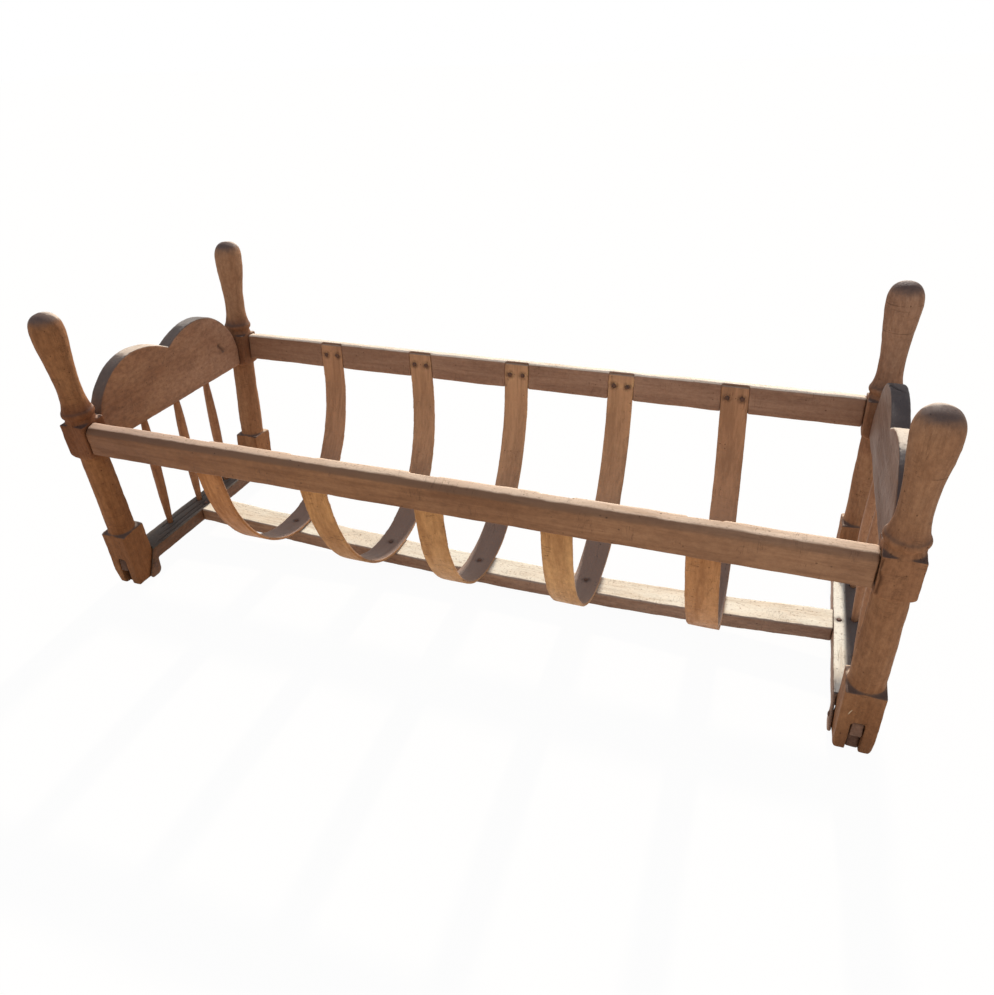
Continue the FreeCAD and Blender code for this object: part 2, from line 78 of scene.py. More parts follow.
# %% [markdown]
# ## The camera
# The picture was taken from in front of the cradle's right half and above it, looking down and a little
# to the left. A camera is easiest to aim by its own three directions: to the right of the picture, up the
# picture, and backwards. Its lens and shift come from the focal length and the middle of the view, both
# measured in pixels of a 994 by 995 picture. Blender counts both against the longer side, the height.

# %% Aim the camera
camera_place = Vector((0.36285, -0.90609, 0.72060))
camera_yaw = math.radians(21.795)
camera_pitch = math.radians(29.081)
camera_roll = math.radians(-2.41)

forward = Vector(
    (
        -math.sin(camera_yaw) * math.cos(camera_pitch),
        math.cos(camera_yaw) * math.cos(camera_pitch),
        -math.sin(camera_pitch),
    )
)
level_right = Vector((math.cos(camera_yaw), math.sin(camera_yaw), 0))
level_up = level_right.cross(forward)
right = level_right * math.cos(camera_roll) + level_up * math.sin(camera_roll)
up = level_up * math.cos(camera_roll) - level_right * math.sin(camera_roll)
print("camera looks along", [round(s, 3) for s in forward])

# %% Place the camera
image_width = 994
image_height = 995
sensor_width = 36.0
focal_pixels = 810.48
view_middle_x = 479.07
view_middle_y = 472.18
nearest_seen = 0.01

bpy.ops.object.camera_add(location=camera_place)
camera = bpy.context.object
camera.matrix_world = Matrix.Translation(camera_place) @ Matrix((right, up, -forward)).transposed().to_4x4()
camera.data.sensor_width = sensor_width
camera.data.lens = focal_pixels / image_height * sensor_width
camera.data.shift_x = (image_width / 2 - view_middle_x) / image_height
camera.data.shift_y = (view_middle_y - image_height / 2) / image_height
camera.data.clip_start = nearest_seen
bpy.context.scene.camera = camera
bpy.context.scene.view_settings.view_transform = "Standard"
shift = [round(s, 4) for s in (camera.data.shift_x, camera.data.shift_y)]
print("camera: lens", round(camera.data.lens, 2), "shift", shift)

# %% [markdown]
# ## Small tools for node trees
# Materials are built from nodes. These helpers add a node with its settings, and feed a socket from
# either a number or another node, so that a material reads like a recipe.


# %% Node helpers
def add_node(tree, kind, **settings):
    made = tree.nodes.new(kind)
    for name, value in settings.items():
        setattr(made, name, value)
    return made


def feed(tree, socket, source):
    """Puts a number, a colour or another node's output into a socket."""
    if isinstance(source, bpy.types.NodeSocket):
        tree.links.new(source, socket)
    else:
        socket.default_value = source


def calc(tree, operation, first, second=0.0, clamp=False):
    made = add_node(tree, "ShaderNodeMath", operation=operation, use_clamp=clamp)
    feed(tree, made.inputs[0], first)
    feed(tree, made.inputs[1], second)
    return made.outputs[0]


def span(tree, value, low, high, to_low=0.0, to_high=1.0):
    """Maps a value from one range to another, held at both ends."""
    made = add_node(tree, "ShaderNodeMapRange", clamp=True, interpolation_type="SMOOTHSTEP")
    for socket, source in zip(made.inputs, (value, low, high, to_low, to_high)):
        feed(tree, socket, source)
    return made.outputs["Result"]


def blend(tree, amount, first, second, way="MIX"):
    made = add_node(tree, "ShaderNodeMix", data_type="RGBA", blend_type=way)
    feed(tree, made.inputs["Factor"], amount)
    # A Mix node's colours are its inputs 6 and 7, and its mixed colour is output 2.
    feed(tree, made.inputs[6], first)
    feed(tree, made.inputs[7], second)
    return made.outputs[2]


print("helpers for single nodes ready")

# %% [markdown]
# ## Tools for patterns and groups
# Old wood is full of patterns that are long one way and short the other: figure, streaks, fibres. Noise
# gives them all when its place is stretched by a different number of waves per metre in each direction.
# A pattern that several materials need is built once, as a group with named sockets, and placed in each.


# %% Pattern helpers
def with_vectors(tree, operation, first, second):
    made = add_node(tree, "ShaderNodeVectorMath", operation=operation)
    feed(tree, made.inputs[0], first)
    feed(tree, made.inputs[1], second)
    return made.outputs


def stretched(tree, vector, waves):
    return with_vectors(tree, "MULTIPLY", vector, waves)["Vector"]


def reach_along(tree, vector, direction):
    """How far a vector reaches along a direction."""
    return with_vectors(tree, "DOT_PRODUCT", vector, direction)["Value"]


def parts_of(tree, vector):
    """The X, Y and Z of a vector."""
    made = add_node(tree, "ShaderNodeSeparateXYZ")
    feed(tree, made.inputs[0], vector)
    return made.outputs


def noise(tree, vector, waves, detail, roughness, distortion=0.0):
    """Noise with its own number of waves per metre in each direction."""
    made = add_node(tree, "ShaderNodeTexNoise")
    feed(tree, made.inputs["Vector"], stretched(tree, vector, waves))
    feed(tree, made.inputs["Scale"], 1.0)
    feed(tree, made.inputs["Detail"], detail)
    feed(tree, made.inputs["Roughness"], roughness)
    feed(tree, made.inputs["Distortion"], distortion)
    return made.outputs[0]


print("helpers for patterns ready")


# %% Group helpers
def new_group(name, inputs, outputs):
    """An empty shader group with named sockets, and its two ends."""
    tree = bpy.data.node_groups.new(name, "ShaderNodeTree")
    for direction, sockets in (("INPUT", inputs), ("OUTPUT", outputs)):
        for socket_name, kind in sockets.items():
            tree.interface.new_socket(name=socket_name, in_out=direction, socket_type="NodeSocket" + kind)
    return tree, add_node(tree, "NodeGroupInput").outputs, add_node(tree, "NodeGroupOutput").inputs


def place_group(tree, group, **sources):
    made = add_node(tree, "ShaderNodeGroup", node_tree=group)
    for name, source in sources.items():
        feed(tree, made.inputs[name], source)
    return made.outputs


print("helpers for groups ready")

# %% [markdown]
# ## The floor
# A pale floor throws a warm glow up into the cradle's shaded fronts. A large plane with a diffuse surface
# does that. To the camera the floor has to look nearly white, with only a trace of the shadow, so a mix
# shader shows plain white to every ray that looks at the backdrop, and lets a little of the lit floor in.

# %% Lay the floor
floor_size = 30.0
floor_white_share = 0.965
ground_glow = (0.80, 0.68, 0.54, 1)


def backdrop_rays(tree):
    """1 for the rays that show the backdrop: seen plainly, through glass or mirrored."""
    path = add_node(tree, "ShaderNodeLightPath").outputs
    seen = calc(tree, "MAXIMUM", path["Is Camera Ray"], path["Is Transmission Ray"])
    return calc(tree, "MAXIMUM", seen, path["Is Glossy Ray"])


bpy.ops.mesh.primitive_plane_add(size=floor_size)
floor = bpy.context.object
floor.name = "floor"
floor_look = bpy.data.materials.new("pale floor")
floor_look.use_nodes = True
tree = floor_look.node_tree
tree.nodes.clear()
ground = add_node(tree, "ShaderNodeBsdfDiffuse")
ground.inputs["Color"].default_value = ground_glow
white = add_node(tree, "ShaderNodeEmission")
mixer = add_node(tree, "ShaderNodeMixShader")
feed(tree, mixer.inputs[0], calc(tree, "MULTIPLY", backdrop_rays(tree), floor_white_share))
feed(tree, mixer.inputs[1], ground.outputs[0])
feed(tree, mixer.inputs[2], white.outputs[0])
feed(tree, add_node(tree, "ShaderNodeOutputMaterial").inputs["Surface"], mixer.outputs[0])
floor.data.materials.append(floor_look)
print("floor:", floor_size, "m wide, white share", floor_white_share)

# %% [markdown]
# ## Sun and sky
# Low sun comes from behind the cradle, so its tops are bright and its fronts lie in soft shade. One sun
# lamp with a small disc gives that light a direction and soft shadow edges. A plain sky, bluer overhead
# than at the horizon, fills the shade, and shows white where it is the backdrop.

# %% Hang the sun
sun_height = math.radians(31)
sun_side = math.radians(-2)
sun_strength = 4.8
sun_spread = math.radians(2.5)
sun_colour = (1.0, 0.95, 0.88)
sun_from = Vector(
    (
        math.sin(sun_side) * math.cos(sun_height),
        math.cos(sun_side) * math.cos(sun_height),
        math.sin(sun_height),
    )
)

bpy.ops.object.light_add(type="SUN")
sun = bpy.context.object
sun.rotation_mode = "QUATERNION"
sun.rotation_quaternion = sun_from.to_track_quat("Z", "Y")
sun.data.energy = sun_strength
sun.data.angle = sun_spread
sun.data.color = sun_colour
print("sun:", round(math.degrees(sun_height)), "degrees high, strength", sun_strength)

# %% Paint the sky
sky_top = (0.50, 0.60, 0.78, 1)
sky_side = (0.72, 0.69, 0.66, 1)
sky_heights = (0.05, 0.75)
backdrop_white = (1, 1, 1, 1)

world = bpy.data.worlds.new("sky")
bpy.context.scene.world = world
world.use_nodes = True
tree = world.node_tree
tree.nodes.clear()
looking = parts_of(tree, add_node(tree, "ShaderNodeTexCoord").outputs["Generated"])
sky = blend(tree, span(tree, looking["Z"], *sky_heights), sky_side, sky_top)
back = add_node(tree, "ShaderNodeBackground")
feed(tree, back.inputs["Color"], blend(tree, backdrop_rays(tree), sky, backdrop_white))
feed(tree, add_node(tree, "ShaderNodeOutputWorld").inputs["Surface"], back.outputs[0])
print("sky:", sky_top[:3], "overhead and", sky_side[:3], "at the horizon")

# %% [markdown]
# ## Worn copies of the pieces
# A construction model has crisp arrises and true faces, which old hand-worked wood has not. Sculpting
# each piece by hand would be slow, so every piece is copied, merged, and given an even skin by a voxel
# remesh. Smoothing eases the arrises, and displacement with cloud textures leaves the shallow waves of a
# drawknife and a scatter of dents. They go in and out by about a millimetre, never below the floor, and
# the whole stays inside its true size.


# %% Mesh helpers
def pick(piece):
    """Makes one piece the only selected and the active one."""
    bpy.ops.object.select_all(action="DESELECT")
    piece.select_set(True)
    bpy.context.view_layer.objects.active = piece


def modify(piece, kind, **settings):
    """Adds a modifier with its settings and applies it."""
    made = piece.modifiers.new(kind.lower(), kind)
    for name, value in settings.items():
        setattr(made, name, value)
    pick(piece)
    bpy.ops.object.modifier_apply(modifier=made.name)


def points_of(piece):
    flat = np.empty(len(piece.data.vertices) * 3, np.float32)
    piece.data.vertices.foreach_get("co", flat)
    return flat.reshape(-1, 3)


def set_points(piece, points):
    piece.data.vertices.foreach_set("co", np.ascontiguousarray(points, np.float32).ravel())
    piece.data.update()


print("mesh helpers ready")

# %% The worn copy
merge_distance = 0.00001
ease_strength = 0.5


def clouds(name, size):
    made = bpy.data.textures.new(name, "CLOUDS")
    made.noise_scale = size
    return made


tool_waves = clouds("tool waves", 0.055)
hand_dents = clouds("hand dents", 0.011)


def worn_copy(node, skin, ease, wave, dent, level=0.5):
    """A copy of a node with an even skin, eased arrises, shallow waves and dents."""
    pick(nodes[node])
    bpy.ops.object.duplicate()
    piece = bpy.context.object
    piece.name = "worn_" + node
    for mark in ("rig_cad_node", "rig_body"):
        del piece[mark]
    bpy.ops.object.mode_set(mode="EDIT")
    bpy.ops.mesh.select_all(action="SELECT")
    bpy.ops.mesh.remove_doubles(threshold=merge_distance)
    bpy.ops.object.mode_set(mode="OBJECT")
    modify(piece, "REMESH", mode="VOXEL", voxel_size=skin, use_smooth_shade=True)
    modify(piece, "SMOOTH", factor=ease_strength, iterations=ease)
    modify(piece, "DISPLACE", texture=tool_waves, texture_coords="LOCAL", mid_level=level, strength=wave)
    modify(piece, "DISPLACE", texture=hand_dents, texture_coords="LOCAL", mid_level=level, strength=dent)
    points = points_of(piece)
    points[:, 2] = np.maximum(points[:, 2], 0)
    set_points(piece, points)
    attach(piece, "root")
    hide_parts(node)
    return piece


print("textures for wear:", tool_waves.name, "and", hand_dents.name)

# %% [markdown]
# ## Wear for each kind of piece
# Thick timbers were worked with coarse tools, thin spindles and nails with fine ones. So each kind of
# piece gets its own skin, waves and dents in metres, and its own rounds of easing. A fine skin keeps
# small forms but costs many faces, so only the small pieces have one. A level above a half presses the
# texture further in than out: the posts have lost the most wood.

# %% Kinds of pieces
families = {
    "post": {"skin": 0.0014, "ease": 4, "wave": 0.0022, "dent": 0.0007, "level": 0.7},
    "rail": {"skin": 0.0015, "ease": 3, "wave": 0.0018, "dent": 0.0003},
    "board": {"skin": 0.0015, "ease": 3, "wave": 0.0018, "dent": 0.0006},
    "base": {"skin": 0.0014, "ease": 3, "wave": 0.0020, "dent": 0.0004},
    "rib": {"skin": 0.0012, "ease": 2, "wave": 0.0010, "dent": 0.0004},
    "spindle": {"skin": 0.0009, "ease": 3, "wave": 0.0010, "dent": 0.0004},
    "nail": {"skin": 0.00045, "ease": 2, "wave": 0.0004, "dent": 0.0007},
}


def family_of(node):
    """The kind of piece that a node's name says it is."""
    if node.startswith(("post", "rib_")):
        return node.split("_")[0]
    if node.endswith("nails"):
        return "nail"
    if "spindle" in node:
        return "spindle"
    if node.endswith("board"):
        return "board"
    return "base" if "end_rail" in node or node == "stretcher" else "rail"


print("kinds of pieces:", ", ".join(families))

# %% Copy every piece
pieces = {}
for node in sorted(nodes):
    pieces[node] = worn_copy(node, **families[family_of(node)])
faces = sum(len(piece.data.polygons) for piece in pieces.values())
print("worn copies:", len(pieces), "pieces,", faces, "faces")

# %% [markdown]
# ## Feet worn round and a rail worn down
# The square feet have lost their corners at the bottom, as feet do that are dragged over a floor, and the
# front rail's outer shoulder is worn round. A bevel would be too even for either. Instead the vertices
# near a foot's corner are pulled in to a quarter circle that shrinks with height and leans as the post
# does, and the rail's upper points sink more the further out they lie.

# %% Wear the feet's corners
lean_degrees = 4.3
rake = math.tan(math.radians(lean_degrees))
foot_half = 0.02125
foot_y = 0.1585
corner_round = 0.0115
corner_height = 0.034
tiny = 1e-9
posts = [node for node in nodes if family_of(node) == "post"]

for node in posts:
    low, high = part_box(node)
    points = points_of(pieces[node])
    axis = np.array([(low.x + high.x) / 2, math.copysign(foot_y, low.y)])
    axis = axis + points[:, 2:] * np.array([0, math.copysign(rake, low.y)])
    out = points[:, :2] - axis
    worn = corner_round * np.clip(1 - points[:, 2] / corner_height, 0, 1)
    corner = np.maximum(np.abs(out) - (foot_half - worn)[:, None], 0)
    reach = np.hypot(*corner.T)
    past_circle = np.maximum(reach - worn, 0) / np.maximum(reach, tiny)
    pull = np.where(corner.min(axis=1) > 0, past_circle, 0)
    points[:, :2] -= np.sign(out) * corner * pull[:, None]
    set_points(pieces[node], points)
print("feet worn:", len(posts), "to a radius of", corner_round, "m at the floor")

# %% Wear the front rail's shoulder
rail_crown = 0.004
crown_depth = 0.014

low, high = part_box("front_rail")
points = points_of(pieces["front_rail"])
outer = np.clip((high.y - points[:, 1]) / (high.y - low.y), 0, 1)
upper = np.clip((points[:, 2] - high.z + crown_depth) / crown_depth, 0, 1)
points[:, 2] -= rail_crown * outer**2 * upper
set_points(pieces["front_rail"], points)
print("front rail's shoulder lowered by", rail_crown, "m")

# %% [markdown]
# ## Grain that follows each piece
# A plank's fibres run along it, a bent rib's run round the bend, and a post's run up its leaning axis. A
# texture in plain coordinates can't bend, so every vertex stores its own grain place: how far along the
# fibres it lies, and how far across in the two other directions. Every piece is cut from its own place
# in the log, so no two show the same figure.

# %% Find grain places
rib_radius = 0.19
rib_spring = 0.251


def grain_places(node, points):
    """Along, across and through the fibres of a piece, for each of its points."""
    x, y, z = points.T
    kind = family_of(node)
    if kind == "post":
        low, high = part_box(node)
        middle = (low + high) / 2
        side = math.copysign(1, middle.y)
        foot_middle = side * (abs(middle.y) - (high.z - low.z) / 2 * rake)
        return z, x - middle.x, y - foot_middle - side * z * rake
    if kind == "rib":
        angle = np.arctan2(y, np.maximum(rib_spring - z, 0))
        above = np.maximum(z - rib_spring, 0) * np.sign(y)
        return angle * rib_radius + above, x, np.hypot(y, np.minimum(z - rib_spring, 0))
    if kind in ("spindle", "nail"):
        return z, x, y
    if kind == "board" or node.endswith("end_rail"):
        return y, x, z
    return x, y, z


print("grain bends round ribs of radius", rib_radius, "m")

# %% Store grain places
log_spacing = 0.53


def store(piece, name, values):
    """Keeps a number, or a place, for every vertex, under a name that materials can read."""
    values = np.ascontiguousarray(values, np.float32)
    kind, field = ("FLOAT", "value") if values.ndim == 1 else ("FLOAT_VECTOR", "vector")
    made = piece.data.attributes.new(name, kind, "POINT")
    made.data.foreach_set(field, values.ravel())


for index, (node, piece) in enumerate(pieces.items()):
    places = np.stack(grain_places(node, points_of(piece)), axis=1)
    places[:, 1] += index * log_spacing
    store(piece, "grain", places)
print("grain stored on", len(pieces), "pieces")

# %% [markdown]
# ## Grime in the joints and stains round the iron
# Dirt gathers where two pieces meet, and iron nails turn the wood round them black. Both depend on what
# lies near, so each vertex measures its distance to the neighbouring pieces and to the nails, and
# stores how dirty that makes it. The result travels with the mesh. Where the ribs cross them, the side
# rails are left clean: sun has bleached that joint, and the ribs cover the wood round their nails.


# %% Distance helpers
def tree_of(names):
    """One search tree over the meshes of several nodes."""
    corners = []
    triangles = []
    for name in names:
        mesh = nodes[name].data
        start = len(corners)
        corners += [vertex.co for vertex in mesh.vertices]
        triangles += [[start + i for i in face.vertices] for face in mesh.polygons]
    return BVHTree.FromPolygons(corners, triangles)


def near(node, others, reach):
    """The other nodes whose boxes come within reach of this node's box."""
    low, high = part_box(node)
    found = []
    for other in others:
        other_low, other_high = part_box(other)
        gaps = [max(other_low[i] - high[i], low[i] - other_high[i]) for i in range(3)]
        if other != node and max(gaps) < reach:
            found.append(other)
    return found


def closeness(piece, names, reach):
    """For each vertex, 1 where it touches the named nodes and 0 at reach or beyond."""
    values = np.zeros(len(piece.data.vertices), np.float32)
    if not names:
        return values
    search = tree_of(names)
    for index, vertex in enumerate(piece.data.vertices):
        distance = search.find_nearest(vertex.co, reach)[3]
        if distance is not None:
            values[index] = 1 - distance / reach
    return values


print("distance helpers ready")

# %% Store grime and stains
grime_reach = 0.0022
stain_reach = 0.0046
nails = [node for node in nodes if family_of(node) == "nail"]
timbers = [node for node in nodes if family_of(node) != "nail"]

for node in timbers:
    touching = near(node, timbers, grime_reach)
    stained = near(node, nails, stain_reach)
    if family_of(node) == "rail":
        touching = [other for other in touching if family_of(other) != "rib"]
        stained = []
    store(pieces[node], "grime", closeness(pieces[node], touching, grime_reach))
    store(pieces[node], "stain", closeness(pieces[node], stained, stain_reach))
print("grime and stains stored on", len(timbers), "timbers")

# %% [markdown]
# ## Single marks
# A few marks belong to one place only: cracks beside the front rail's joints, a dug-out knot in the left
# board, and weather cracks along tops. Each is a chain of short lines. Vertices near it are pressed in
# and store how deep they lie, so that the colour can follow.

# %% List the scars
right_joint_crack = [
    (0.4824, -0.1976, 0.2676),
    (0.4804, -0.197, 0.2557),
    (0.4841, -0.196, 0.2449),
    (0.4831, -0.195, 0.2269),
]
left_joint_crack = [(-0.4830, -0.1965, 0.2600), (-0.4845, -0.1955, 0.2460), (-0.4835, -0.1945, 0.2330)]
knot = [(-0.4897, 0.1105, 0.2750), (-0.4897, 0.1190, 0.2645)]
lobe_crack = [(0.4905, 0.0800, 0.3310), (0.4960, 0.0690, 0.3320), (0.5080, 0.0560, 0.3300)]
inner_crack = [(-0.4800, -0.1250, 0.0463), (-0.4815, -0.0700, 0.0463), (-0.4805, 0.0100, 0.0463)]
middle_crack = [(-0.4900, -0.1100, 0.0463), (-0.4890, -0.0300, 0.0463), (-0.4910, 0.0700, 0.0463)]
outer_crack = [(-0.5020, -0.0900, 0.0463), (-0.5000, 0.0200, 0.0463), (-0.5010, 0.1100, 0.0463)]
# Each scar has a half width, a depth and the places that it runs through.
scars = {
    "post_front_right": [(0.0017, 0.0016, right_joint_crack)],
    "left_end_board": [(0.0045, 0.0025, knot)],
    "right_end_board": [(0.0013, 0.0020, lobe_crack)],
    "left_end_rail": [
        (0.0012, 0.0016, inner_crack),
        (0.0010, 0.0014, middle_crack),
        (0.0011, 0.0014, outer_crack),
    ],
    "post_front_left": [(0.0012, 0.0014, left_joint_crack)],
}
print("scars listed for", len(scars), "pieces")

# %% Press in cracks and the knot
scar_flank = 0.7


def distance_to_line(points, start, end):
    along = end - start
    share = np.clip((points - start) @ along / (along @ along), 0, 1)
    return np.linalg.norm(points - start - share[:, None] * along, axis=1)


for node, chains in scars.items():
    piece = pieces[node]
    points = points_of(piece)
    normals = np.empty(len(points) * 3, np.float32)
    piece.data.vertices.foreach_get("normal", normals)
    pressed = np.zeros(len(points), np.float32)
    for half_width, depth, chain in chains:
        spots = [np.array(spot) for spot in chain]
        away = np.min([distance_to_line(points, a, b) for a, b in zip(spots, spots[1:])], axis=0)
        shape = np.clip(1 - away / half_width, 0, 1) ** scar_flank
        points = points - normals.reshape(-1, 3) * (shape * depth)[:, None]
        pressed = np.maximum(pressed, shape)
    set_points(piece, points)
    store(piece, "scar", pressed)
print("single marks on", len(scars), "pieces")

# %% [markdown]
# ## Handling, and the front rail's ends
# Hands and smoke darkened the posts round their collars, the front left one most, and the back right one
# from its block up. The front rail is darker towards its left end, and towards its right end the painted
# shade under its top grows thin. Each vertex stores how far each goes, and every piece that stores
# nothing reads zero.

# %% Store handling on the posts, and the front rail's darker left end and thinner painted shade
# Each post has an amount, and the heights between which it was handled.
handled = {
    "post_front_left": (0.75, 0.222, 0.300),
    "post_back_left": (0.45, 0.222, 0.300),
    "post_back_right": (0.40, 0.200, 0.440),
    "post_front_right": (0.25, 0.222, 0.300),
}
handled_fade = 0.012
rail_left_darkening = 0.45
rail_left_darkening_x = (-0.40, -0.15)
rail_shade_thinning = 0.5
rail_shade_thinning_x = (0.10, 0.35)

for node, (amount, lowest, highest) in handled.items():
    z = points_of(pieces[node])[:, 2]
    inside = np.minimum(z - lowest, highest - z)
    store(pieces[node], "handled", amount * np.clip(inside / handled_fade + 0.5, 0, 1))
rail_x = points_of(pieces["front_rail"])[:, 0]
# The front rail is darker towards its left end, and its painted shade thins towards its right end.
store(pieces["front_rail"], "handled", np.interp(rail_x, rail_left_darkening_x, (rail_left_darkening, 0)))
store(pieces["front_rail"], "thinned_shade", np.interp(rail_x, rail_shade_thinning_x, (0, rail_shade_thinning)))
print("handling stored on", len(handled), "posts and the front rail")

# %% [markdown]
# ## Scribe lines and a fresh chip
# The turner scribed fine lines round the right posts' finials, and one fresh chip on the front right foot
# shows pale wood. The mesh is too coarse to hold such thin marks, so the vertices only store where a mark
# may show, and the material draws it there.

# %% Store where lines and the chip may show
# Each post has the least X at which its lines show, and their heights.
scribed = {"post_back_right": (0.0, (0.3988, 0.3640)), "post_front_right": (0.503, (0.3602,))}
scribe_reach = 0.0018
chip_top = 0.075

for node, (from_x, heights) in scribed.items():
    points = points_of(pieces[node])
    near_line = np.any([np.abs(points[:, 2] - height) < scribe_reach for height in heights], axis=0)
    store(pieces[node], "scribed", near_line & (points[:, 0] > from_x))
points = points_of(pieces["post_front_right"])
store(pieces["post_front_right"], "chip", (points[:, 2] < chip_top) & (points[:, 1] < -foot_y))
print("scribed posts:", len(scribed), "and one chipped foot")

# %% [markdown]
# ## Shared effects
# Grain, age marks, worn edges, and weathering with painted light and shade show on every timber, so each
# is a node group that any material can place with its own strength. They put out masks only, and the
# colours stay with each wood.
# The grain has five layers of noise. The broad figure, streaks and fibres add up to one tone. Patches and
# mottling are kept apart, so that each wood can set how strong they are.

# %% Grain group
figure_waves = (5, 48, 48)
streak_waves = (14, 260, 260)
fibre_waves = (60, 1300, 1300)
patch_waves = (9, 22, 22)
mottle_waves = (120, 190, 190)
tone_range = (0.32, 0.68)
patch_range = (0.30, 0.70)
mottle_range = (0.30, 0.70)


def weighted(tree, *layers):
    """The sum of several layers, each times its own share."""
    total = 0.0
    for layer, share in layers:
        total = calc(tree, "ADD", total, calc(tree, "MULTIPLY", layer, share))
    return total


grain_group, ends_in, ends_out = new_group(
    "straight grain",
    {"Grain": "Vector"},
    {"Tone": "Float", "Fibre": "Float", "Patch": "Float", "Mottle": "Float"},
)
place = ends_in["Grain"]
figure = noise(grain_group, place, figure_waves, detail=3, roughness=0.55, distortion=0.6)
streak = noise(grain_group, place, streak_waves, detail=4, roughness=0.6)
fibre = noise(grain_group, place, fibre_waves, detail=2, roughness=0.5)
patch = noise(grain_group, place, patch_waves, detail=3, roughness=0.6)
mottle = noise(grain_group, place, mottle_waves, detail=6, roughness=0.75)
tone = weighted(grain_group, (fibre, 0.12), (figure, 0.5), (streak, 0.38))
feed(grain_group, ends_out["Tone"], span(grain_group, tone, *tone_range))
feed(grain_group, ends_out["Fibre"], fibre)
feed(grain_group, ends_out["Patch"], span(grain_group, patch, *patch_range))
feed(grain_group, ends_out["Mottle"], span(grain_group, mottle, *mottle_range))
print("group made:", grain_group.name)

# %% [markdown]
# ## Age marks
# Beetles left a few round holes, drying opened fine checks along the fibres, and use scratched across
# them. A cell texture gives the holes, in the few cells whose random colour is high. Checks and scratches
# are thin lines where stretched noise crosses its middle value, kept only in some places.

# %% Age marks group
hole_waves = (150, 190, 190)
hole_edges = (0.21, 0.13)
holed_cells = (0.90, 0.93)
hole_strength = 0.8
rare_fade = 0.06


def hair_lines(tree, vector, waves, width, rare_waves, rare):
    """Thin lines where stretched noise crosses its middle, kept only in some places."""
    wave = noise(tree, vector, waves, detail=2, roughness=0.5)
    from_middle = calc(tree, "ABSOLUTE", calc(tree, "SUBTRACT", wave, 0.5))
    lines = span(tree, from_middle, width, 0.0)
    places = noise(tree, vector, rare_waves, detail=1, roughness=0.5)
    places = span(tree, places, rare, rare + rare_fade)
    return calc(tree, "MULTIPLY", lines, places)


marks_group, ends_in, ends_out = new_group(
    "age marks", {"Grain": "Vector"}, {"Holes": "Float", "Checks": "Float", "Cross": "Float"}
)
place = ends_in["Grain"]
cells = add_node(marks_group, "ShaderNodeTexVoronoi", feature="F1")
feed(marks_group, cells.inputs["Vector"], stretched(marks_group, place, hole_waves))
feed(marks_group, cells.inputs["Scale"], 1.0)
drawn = add_node(marks_group, "ShaderNodeSeparateColor")
feed(marks_group, drawn.inputs[0], cells.outputs["Color"])
round_hole = span(marks_group, cells.outputs["Distance"], *hole_edges)
chosen = span(marks_group, drawn.outputs[0], *holed_cells, 0.0, hole_strength)
checks = hair_lines(
    marks_group, place, waves=(6, 130, 130), width=0.010, rare_waves=(12, 30, 30), rare=0.55
)
scratches = hair_lines(
    marks_group, place, waves=(230, 26, 26), width=0.016, rare_waves=(30, 40, 40), rare=0.54
)
feed(marks_group, ends_out["Holes"], calc(marks_group, "MULTIPLY", round_hole, chosen))
feed(marks_group, ends_out["Checks"], checks)
feed(marks_group, ends_out["Cross"], scratches)
print("group made:", marks_group.name)

# %% [markdown]
# ## Worn edges
# Hands and cloth rub the arrises pale, and hollows keep their dirt. Pointiness tells both apart: it is
# above a half where the mesh bends outwards and below it in a hollow. Noise breaks the rubbed line up.

# %% Worn edges group
arris_bends = (0.53, 0.62)
hollow_bends = (0.47, 0.40)
rub_waves = (60, 120, 120)
rub_range = (0.35, 0.65)
rub_least = 0.25

edges_group, ends_in, ends_out = new_group(
    "worn edges", {"Grain": "Vector"}, {"Edge": "Float", "Hollow": "Float"}
)
bend = add_node(edges_group, "ShaderNodeNewGeometry").outputs["Pointiness"]
rub = noise(edges_group, ends_in["Grain"], rub_waves, detail=3, roughness=0.6)
rub = span(edges_group, rub, *rub_range, rub_least, 1.0)
edge = calc(edges_group, "MULTIPLY", span(edges_group, bend, *arris_bends), rub)
feed(edges_group, ends_out["Edge"], edge)
feed(edges_group, ends_out["Hollow"], span(edges_group, bend, *hollow_bends))
print("group made:", edges_group.name)

# %% [markdown]
# ## Weathering and painted light
# What faces the sun lamp is painted pale, partly as sun bleaching and partly as painted sunlight, and what
# faces up is painted dark, partly as dust and smoke and partly as painted shade. The surface's own
# direction says both, so the weather and the painted light stay on the wood from wherever one looks. Noise
# makes their border ragged, as wood weathers unevenly, and a second noise gives the specks of dirt in the
# bleached grain.

# %% Weathering group
sun_fade = 0.2
level_faces = (0.3, 0.6)
ragged_waves = (40, 160, 160)
speck_waves = (260, 420, 420)
speck_range = (0.56, 0.68)

weather_light_group, ends_in, ends_out = new_group(
    "weathering_and_painted_light",
    {
        "Grain": "Vector",
        "Ragged": "Float",
        "Sun Start": "Float",
        "Shade Start": "Float",
        "Shade End": "Float",
    },
    {"Up": "Float", "Sunny": "Float", "Shaded": "Float", "Specks": "Float"},
)
normal = add_node(weather_light_group, "ShaderNodeNewGeometry").outputs["Normal"]
ragged = noise(weather_light_group, ends_in["Grain"], ragged_waves, detail=4, roughness=0.6)
ragged = calc(weather_light_group, "MULTIPLY", calc(weather_light_group, "SUBTRACT", ragged, 0.5), ends_in["Ragged"])
upward = calc(weather_light_group, "ADD", parts_of(weather_light_group, normal)["Z"], ragged)
sunward = calc(weather_light_group, "ADD", reach_along(weather_light_group, normal, tuple(sun_from)), ragged)
sun_full = calc(weather_light_group, "ADD", ends_in["Sun Start"], sun_fade)
